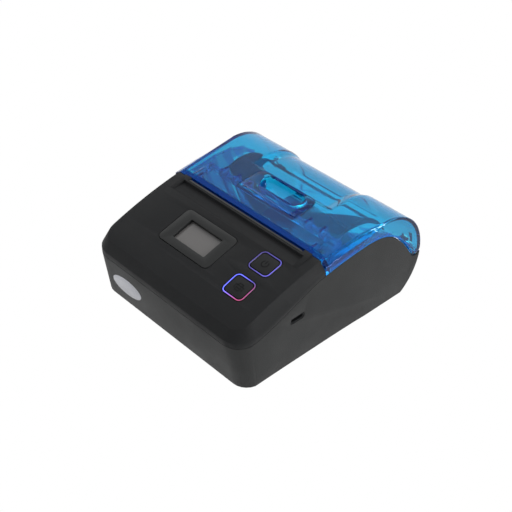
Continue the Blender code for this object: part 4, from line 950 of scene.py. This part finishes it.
opening_top = cover_height + spare
opening_low = lever_axis[1] - opening_drop
front = arc(lever_axis, lever_radius + latch_gap, radians(100.0), radians(175.0), 20)
opening = [(lever_axis[0], opening_top), (front[0][0], opening_top)] + front
opening += [(front[-1][0], opening_low), (opening_back_y, opening_low), (opening_back_y, opening_top)]
tool = slab("latch_opening", opening, -lever_half - spare, lever_half + spare)
plan = tongue_plan("opening_plan", lever_half + latch_gap, lever_back_y + latch_gap, lever_corner + latch_gap)
boolean(tool, plan, "INTERSECT")
boolean(cover, tool, "DIFFERENCE")
for side in (-1, 1):
    low_x = low_side(side, ear_inner_x, ear_thickness) - rim_gap
    notch = circle(hinge, tab_radius + rim_gap, 8.0)
    boolean(cover, slab("notch", notch, low_x, low_x + ear_thickness + 2 * rim_gap), "DIFFERENCE")
print("with its openings it has", len(cover.data.polygons), "faces")

# %% Platen arms, latch carriers and hinge lugs under the cover
bush_radius = 0.0033
arm_thickness = 0.0015
arm_inner_x = 0.0414
carrier_radius = 0.0027
carrier_thickness = 0.0016
carrier_places = (0.0265, 0.0365)
bar_bore = 0.0016
lug_inner_x = 0.0485
lug_thickness = 0.0022
lug_radius = 0.0027
pin_bore = 0.0013
lug_back_angle = radians(16.0)
bush_wall = 0.0009
bore_spare = 0.001


def drilled(target, center, radius, low_x, high_x):
    """Takes a round bore out of a piece."""
    return boolean(target, slab("bore", circle(center, radius, 10.0), low_x, high_x), "DIFFERENCE")


def hanging_arm(center, radius, top, bore, low_x, thickness):
    """Bracket under the cover: a round end with a bore, and straight sides up into the wall."""
    outline = arc(center, radius, pi, 2 * pi, 20) + [(center[0] + radius, top), (center[0] - radius, top)]
    arm = slab("arm", outline, low_x, low_x + thickness)
    return drilled(arm, center, bore, low_x - thickness, low_x + 2 * thickness)


platen_top = top_line(platen_y) - wall_thickness / 2
lever_top = top_line(lever_axis_y) - wall_thickness / 2
platen = (platen_y, platen_z)
rim = barrel_radius - wall_thickness / 2
for side in (-1, 1):
    low_x = low_side(side, arm_inner_x, arm_thickness)
    arm = hanging_arm(platen, bush_radius + bush_wall, platen_top, bush_radius, low_x, arm_thickness)
    boolean(cover, arm)
    for place in carrier_places:
        low_x = side * place - carrier_thickness / 2
        arm = hanging_arm(lever_axis, carrier_radius, lever_top, bar_bore, low_x, carrier_thickness)
        boolean(cover, arm)
    lug = [(hinge_y - lug_radius, hinge_z + lug_radius)]
    lug += arc(hinge, lug_radius, pi, radians(330.0), 20)
    lug += [(barrel_y + rim * cos(lug_back_angle), barrel_z + rim * sin(lug_back_angle))]
    low_x = low_side(side, lug_inner_x, lug_thickness)
    boolean(cover, slab("lug", lug, low_x, low_x + lug_thickness))
    drilled(cover, hinge, pin_bore, low_x - bore_spare, low_x + lug_thickness + bore_spare)

# %% Marks for the hazy places and for the painted light of the rim strip
lip_end_y = cover_front_y + lip_thickness
arm_start_y = platen_y - bush_radius - 0.001
arm_end_y = lever_axis_y + carrier_radius + 0.0003
rim_strip = 0.0007
# how much the rim strip gets of the rib mark: diffuse blue that paints the light its edge gathers
painted_rim_light_share = 2.4


def is_lip(x, y, z):
    """The solid bar along the front edge."""
    return float(y < lip_end_y + latch_gap and abs(x) < mouth_half)


def near_rim(x, y, z):
    """The lowest strip of the cheeks, whose edge gathers light."""
    end_y = hinge_y + tab_radius * cos(seat_angle)
    end_z = hinge_z + tab_radius * sin(seat_angle)
    low = rim_line(min(y, end_y), end_y, end_z) + rim_gap
    return float(abs(x) > half_width - wall_thickness - rim_gap and y < end_y and z < low + rim_strip)


def is_bracket(x, y, z):
    """What hangs under the deck between the lip and the latch."""
    below = z < top_line(y) - wall_thickness - rim_gap
    return float(below and arm_start_y < y < arm_end_y and abs(x) < mouth_half)


mark(cover, "lip", is_lip)
# The rib mark gives the brackets their haze, and on the rim strip it paints the light that the cheek's edge
# gathers.
mark(cover, "rib", lambda x, y, z: max(is_bracket(x, y, z), painted_rim_light_share * near_rim(x, y, z)))
finished(cover, "cover", "clear_blue_plastic", ("cover_shell",))
sides = [round(1000 * side, 1) for side in cover.dimensions]
print("the cover has", len(cover.data.polygons), "faces and measures", sides)

# %% [markdown]
# ## The latch lever
# The latch is a tongue in the cover's deck with a pocket for a fingertip.  A bar under it turns in
# the cover's brackets and carries a hook at each end.  The pocket is a row of slot outlines, each
# a little deeper and smaller than the last, so its rim rolls over into the deck.

# %% Latch sizes
pocket_center_y = 0.0811
pocket_half = 0.0141
pocket_radius = 0.0046
pocket_depth = 0.0046
pocket_wall = 0.0011
bar_radius = 0.0014
bar_half = 0.0478
neck_half = 0.0175
neck_width = 0.0030
rib_radius = 0.0021
rib_width = 0.0012
rib_spacing = 0.0024
hook_inner_x = 0.0457
hook_thickness = 0.0020
hook_drop = 0.0072
hook_width = 0.0026
hook_reach = 0.85
hook_boss = 0.75
tub_taper = 0.001
under_deck_share = 0.6


def slot_form(name, profile, steps=20):
    """Closed form through slot outlines, each grown by an amount and set above or below the deck."""
    form = bmesh.new()
    loops = []
    for grow, lift in profile:
        radius = pocket_radius + grow
        straight = pocket_half - pocket_radius
        outline = [(straight + radius * cos(a), radius * sin(a)) for a in spread(-pi / 2, pi / 2, steps)]
        outline += [(-straight + radius * cos(a), radius * sin(a)) for a in spread(pi / 2, 3 * pi / 2, steps)]
        places = [(x, pocket_center_y + y) for x, y in outline]
        loops.append([form.verts.new((x, y - case_depth / 2, top_line(y) + lift)) for x, y in places])
    for first, second in zip(loops, loops[1:]):
        bridge(form, first, second)
    form.faces.new(loops[0])
    form.faces.new(loops[-1])
    return closed(name, form)


# %% Tongue, pocket, bar and hooks
under_drop = lever_axis_drop - wall_thickness
low_angle = atan2(under_drop, -sqrt(lever_radius**2 - under_drop**2))
front_angle = atan2(lever_axis_drop, -lever_nose)
tongue_side = arc(lever_axis, lever_radius, low_angle, front_angle, 8)
tongue_places = spread(tongue_side[-1][0], lever_back_y + spare, 28)[1:]
tongue_side += [(y, top_line(y)) for y in tongue_places]
tongue_side += [(y, top_line(y) - wall_thickness) for y in reversed(tongue_places)]
latch = slab("clear_latch_lever", tongue_side, -lever_half - spare, lever_half + spare)
boolean(latch, tongue_plan("tongue_plan", lever_half, lever_back_y, lever_corner), "INTERSECT")
tub = [(pocket_wall, -wall_thickness / 2), (pocket_wall, -pocket_depth + pocket_wall)]
for share in (0.4, 0.8, 1.0):
    tub.append((pocket_wall * (1 - share) - share * tub_taper, -pocket_depth - pocket_wall * share))
boolean(latch, slot_form("tub", tub))
neck = [(lever_axis[0] - bar_radius, lever_axis[1]), (lever_axis[0] + bar_radius, lever_axis[1])]
neck += [(lever_axis[0] + 2 * bar_radius, lever_top), (lever_axis[0] - 2 * bar_radius, lever_top)]
for side in (-1, 1):
    low_x = side * neck_half - neck_width / 2
    boolean(latch, slab("neck", neck, low_x, low_x + neck_width))
boolean(latch, slab("bar", circle(lever_axis, bar_radius, 15.0), -bar_half, bar_half))
tip_y = lever_axis[0] - hook_reach * hook_drop
tip_z = lever_axis[1] - hook_drop
half_tip = hook_width / 2
hook = arc(lever_axis, hook_boss * hook_width, radians(-10.0), radians(190.0), 14)
hook += [(tip_y - half_tip, tip_z + half_tip), (tip_y - half_tip, tip_z), (tip_y + half_tip, tip_z)]
for side in (-1, 1):
    low_x = low_side(side, hook_inner_x, hook_thickness)
    boolean(latch, slab("hook", hook, low_x, low_x + hook_thickness))
    for place in carrier_places:
        for k in (-1, 1):
            low_x = side * (place + k * rib_spacing) - rib_width / 2
            rib = slab("rib", circle(lever_axis, rib_radius, 15.0), low_x, low_x + rib_width)
            boolean(latch, rib)
# the pocket's outlines from the top down: how far each is grown, and how high it is over the deck
bowl = (
    (0.0011, 0.0012), (0.0009, 0.0001), (0.0006, -0.0001), (0.0003, -0.0004),
    (0.0001, -0.0008), (0.0, -0.0014), (-0.0002, -0.0030), (-0.0005, -0.0037),
    (-0.0010, -0.0042), (-0.0017, -0.0045), (-0.0025, -0.0046),
)
boolean(latch, slot_form("bowl", bowl), "DIFFERENCE")
mark(latch, "rib", lambda x, y, z: under_deck_share * float(z < top_line(y) - wall_thickness - rim_gap))
finished(latch, "lever", "clear_blue_plastic", ("latch_lever",), sharp=30.0, edge=0.00012)
print("the latch has", len(latch.data.polygons), "faces")

# %% [markdown]
# ## Light rings, key signs and the bare label
# Each ring is a band with rounded shoulders, so the lit line along its middle is thinner than the
# band.  Its unlit sides get a nearly black colour, painted shade along the edges of the lit line.
# The marks on its points say how bright and how warm each spot is.

# %% Light rings
key_x = 0.0329
key_places = {"power": 0.0382, "feed": 0.0214}
ring_half_width = 0.0070
ring_half_length = 0.0064
ring_corner = 0.0030
ring_band = 0.0009
ring_depth = 0.0026
ring_rise = 0.0002


def panel_spot(u, v, lift, center_x, center_y):
    """Place in the case of a spot (u, v) on the panel's tangent plane at a center."""
    step = 0.0001
    slope = (top_line(center_y + step) - top_line(center_y - step)) / (2 * step)
    length = hypot(1.0, slope)
    y = center_y + (v - lift * slope) / length
    z = top_line(center_y) + (v * slope + lift) / length
    return Vector((center_x + u, y - case_depth / 2, z))


def rounded_plan(half_x, half_y, radius, steps=10):
    """Rounded rectangle as (u, v) points."""
    points = []
    for start, (cx, cy) in enumerate(((1, 1), (-1, 1), (-1, -1), (1, -1))):
        center = (cx * (half_x - radius), cy * (half_y - radius))
        points += arc(center, radius, start * pi / 2, (start + 1) * pi / 2, steps)
    return points


def warmth(label, u, v):
    """How far the ring's colour has gone from blue to red."""
    if label == "power":
        return 0.16 + 0.10 * smooth(-u / ring_half_width)
    return smooth(0.30 + 0.75 * u / ring_half_width - 0.45 * v / ring_half_length)


def brightness(label, u, v):
    """How bright the ring is."""
    along, across = u / ring_half_width, v / ring_half_length
    if label == "power":
        return 0.34 + 0.50 * smooth(along) * smooth(0.9 - across / 2)
    return 0.45 + 1.30 * smooth(-along + 0.2) * smooth(0.4 + abs(across)) + 0.25 * smooth(along - across)


def make_ring(label, center_y):
    """Band round a key, lofted on the panel, with its marks on its points."""
    form = bmesh.new()
    glow = form.verts.layers.float.new("glow")
    warm = form.verts.layers.float.new("warm")
    loops = []
    for shrink, lift, lit in ring_shoulder + inner_shoulder:
        loop = []
        for u, v in rounded_plan(ring_half_width - shrink, ring_half_length - shrink, ring_corner - shrink):
            vertex = form.verts.new(panel_spot(u, v, lift, key_x, center_y))
            vertex[glow] = lit * brightness(label, u, v)
            vertex[warm] = warmth(label, u, v)
            loop.append(vertex)
        loops.append(loop)
    for first, second in zip(loops, loops[1:] + loops[:1]):
        bridge(form, first, second)
    ring = closed(f"{label}_ring", form)
    return finished(ring, "base", "light_ring", (f"{label}_light_ring",), sharp=50.0)


# each outline of the band: how far in it lies, how high, and whether it is lit; an unlit outline also gets
# the nearly black colour of painted shade
ring_shoulder = (
    (0.0, -ring_depth, 0.0), (0.0, -0.0003, 0.0), (0.00012, 0.00005, 0.0), (0.00026, ring_rise, 1.0),
)
inner_shoulder = tuple((ring_band - shrink, lift, lit) for shrink, lift, lit in reversed(ring_shoulder))
for label, center_y in key_places.items():
    make_ring(label, center_y)
print("the rings are", round(2000 * ring_half_width, 1), "mm wide")

# %% Signs on the keys
sign_rise = 0.00013
sign_sink = 0.0004
line_half = 0.00019


def sign_plate(name, outline, label):
    """Thin dark plate on a key, from an outline of (u, v) points."""
    center_y = key_places[label]
    low = [panel_spot(u, v, -sign_sink, key_x, center_y) for u, v in outline]
    high = [panel_spot(u, v, sign_rise, key_x, center_y) for u, v in outline]
    count = len(outline)
    faces = [tuple(range(count))[::-1], tuple(range(count, 2 * count))]
    faces += [(i, (i + 1) % count, count + (i + 1) % count, count + i) for i in range(count)]
    mesh = bpy.data.meshes.new(name)
    mesh.from_pydata(low + high, [], faces)
    return placed(name, mesh)


def stroke(points):
    """Outline of a line of even width through the points."""
    sides = ([], [])
    for i, (u, v) in enumerate(points):
        before = points[max(i - 1, 0)]
        after = points[min(i + 1, len(points) - 1)]
        du, dv = after[0] - before[0], after[1] - before[1]
        length = hypot(du, dv)
        for side, sign in zip(sides, (1, -1)):
            side.append((u - sign * dv / length * line_half, v + sign * du / length * line_half))
    return sides[0] + sides[1][::-1]


dial = 0.0019
power_lines = (
    arc((0.0, 0.0), dial, radians(125.0), radians(415.0), 30),
    [(0.0, 0.0001), (0.0, dial * 1.15)],
)
sheet = 0.0013
tray, foot, top, low = 0.0026, 0.0021, 0.0008, -0.0012
feed_lines = (
    [(-foot, low), (-tray, low), (-tray, top), (tray, top), (tray, low), (foot, low)],
    [(-sheet, top), (-sheet, 0.0020), (sheet, 0.0020), (sheet, top)],
    [(-sheet, 0.0001), (-sheet, -0.0020), (sheet, -0.0020), (sheet, 0.0001)],
    [(-0.0007, -0.0007), (0.0007, -0.0007)],
)
for label, lines in (("power", power_lines), ("feed", feed_lines)):
    for i, line in enumerate(lines):
        plate = sign_plate(f"{label}_sign_{i + 1}", stroke(line), label)
        finished(plate, f"{label}_button", "key_plastic")
        plate.data.materials[0] = finishes["sign_ink"]
print("the signs have", len(power_lines) + len(feed_lines), "strokes")

# %% Bare oval label on the front
label_half_length = 0.0118
label_half_height = 0.00617
label_x = -0.03185
label_z = 0.01386
label_turn = 0.0978
label_thickness = 0.00018
front_lean = 0.0042
seam_front_z = 0.0269
base_z = 0.0008
bpy.ops.mesh.primitive_cylinder_add(vertices=96, radius=1.0, depth=1.0)
oval = bpy.context.object
oval.name = "oval_label"
lean_angle = atan2(front_lean, seam_front_z - base_z)
wall_y = front_lean * (seam_front_z - label_z) / (seam_front_z - base_z)
oval.scale = (label_half_length, label_half_height, label_thickness)
bpy.ops.object.transform_apply()
oval.rotation_euler = (0.0, 0.0, label_turn)
bpy.ops.object.transform_apply()
oval.rotation_euler = (pi / 2 + lean_angle, 0.0, 0.0)
oval.location = (label_x, wall_y - case_depth / 2, label_z)
bpy.ops.object.transform_apply()
finished(oval, "base", "white_plastic", edge=0.00006)
oval.data.materials[0] = finishes["label_film"]
print("the label is", round(2000 * label_half_length, 1), "x", round(2000 * label_half_height, 1), "mm")

# %% Sizes
visual_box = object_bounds()
growth = [round(1000 * (v - c), 2) for a, b in zip(visual_box, cad_box) for v, c in zip(a, b)]
print("the box grew by", growth, "mm")
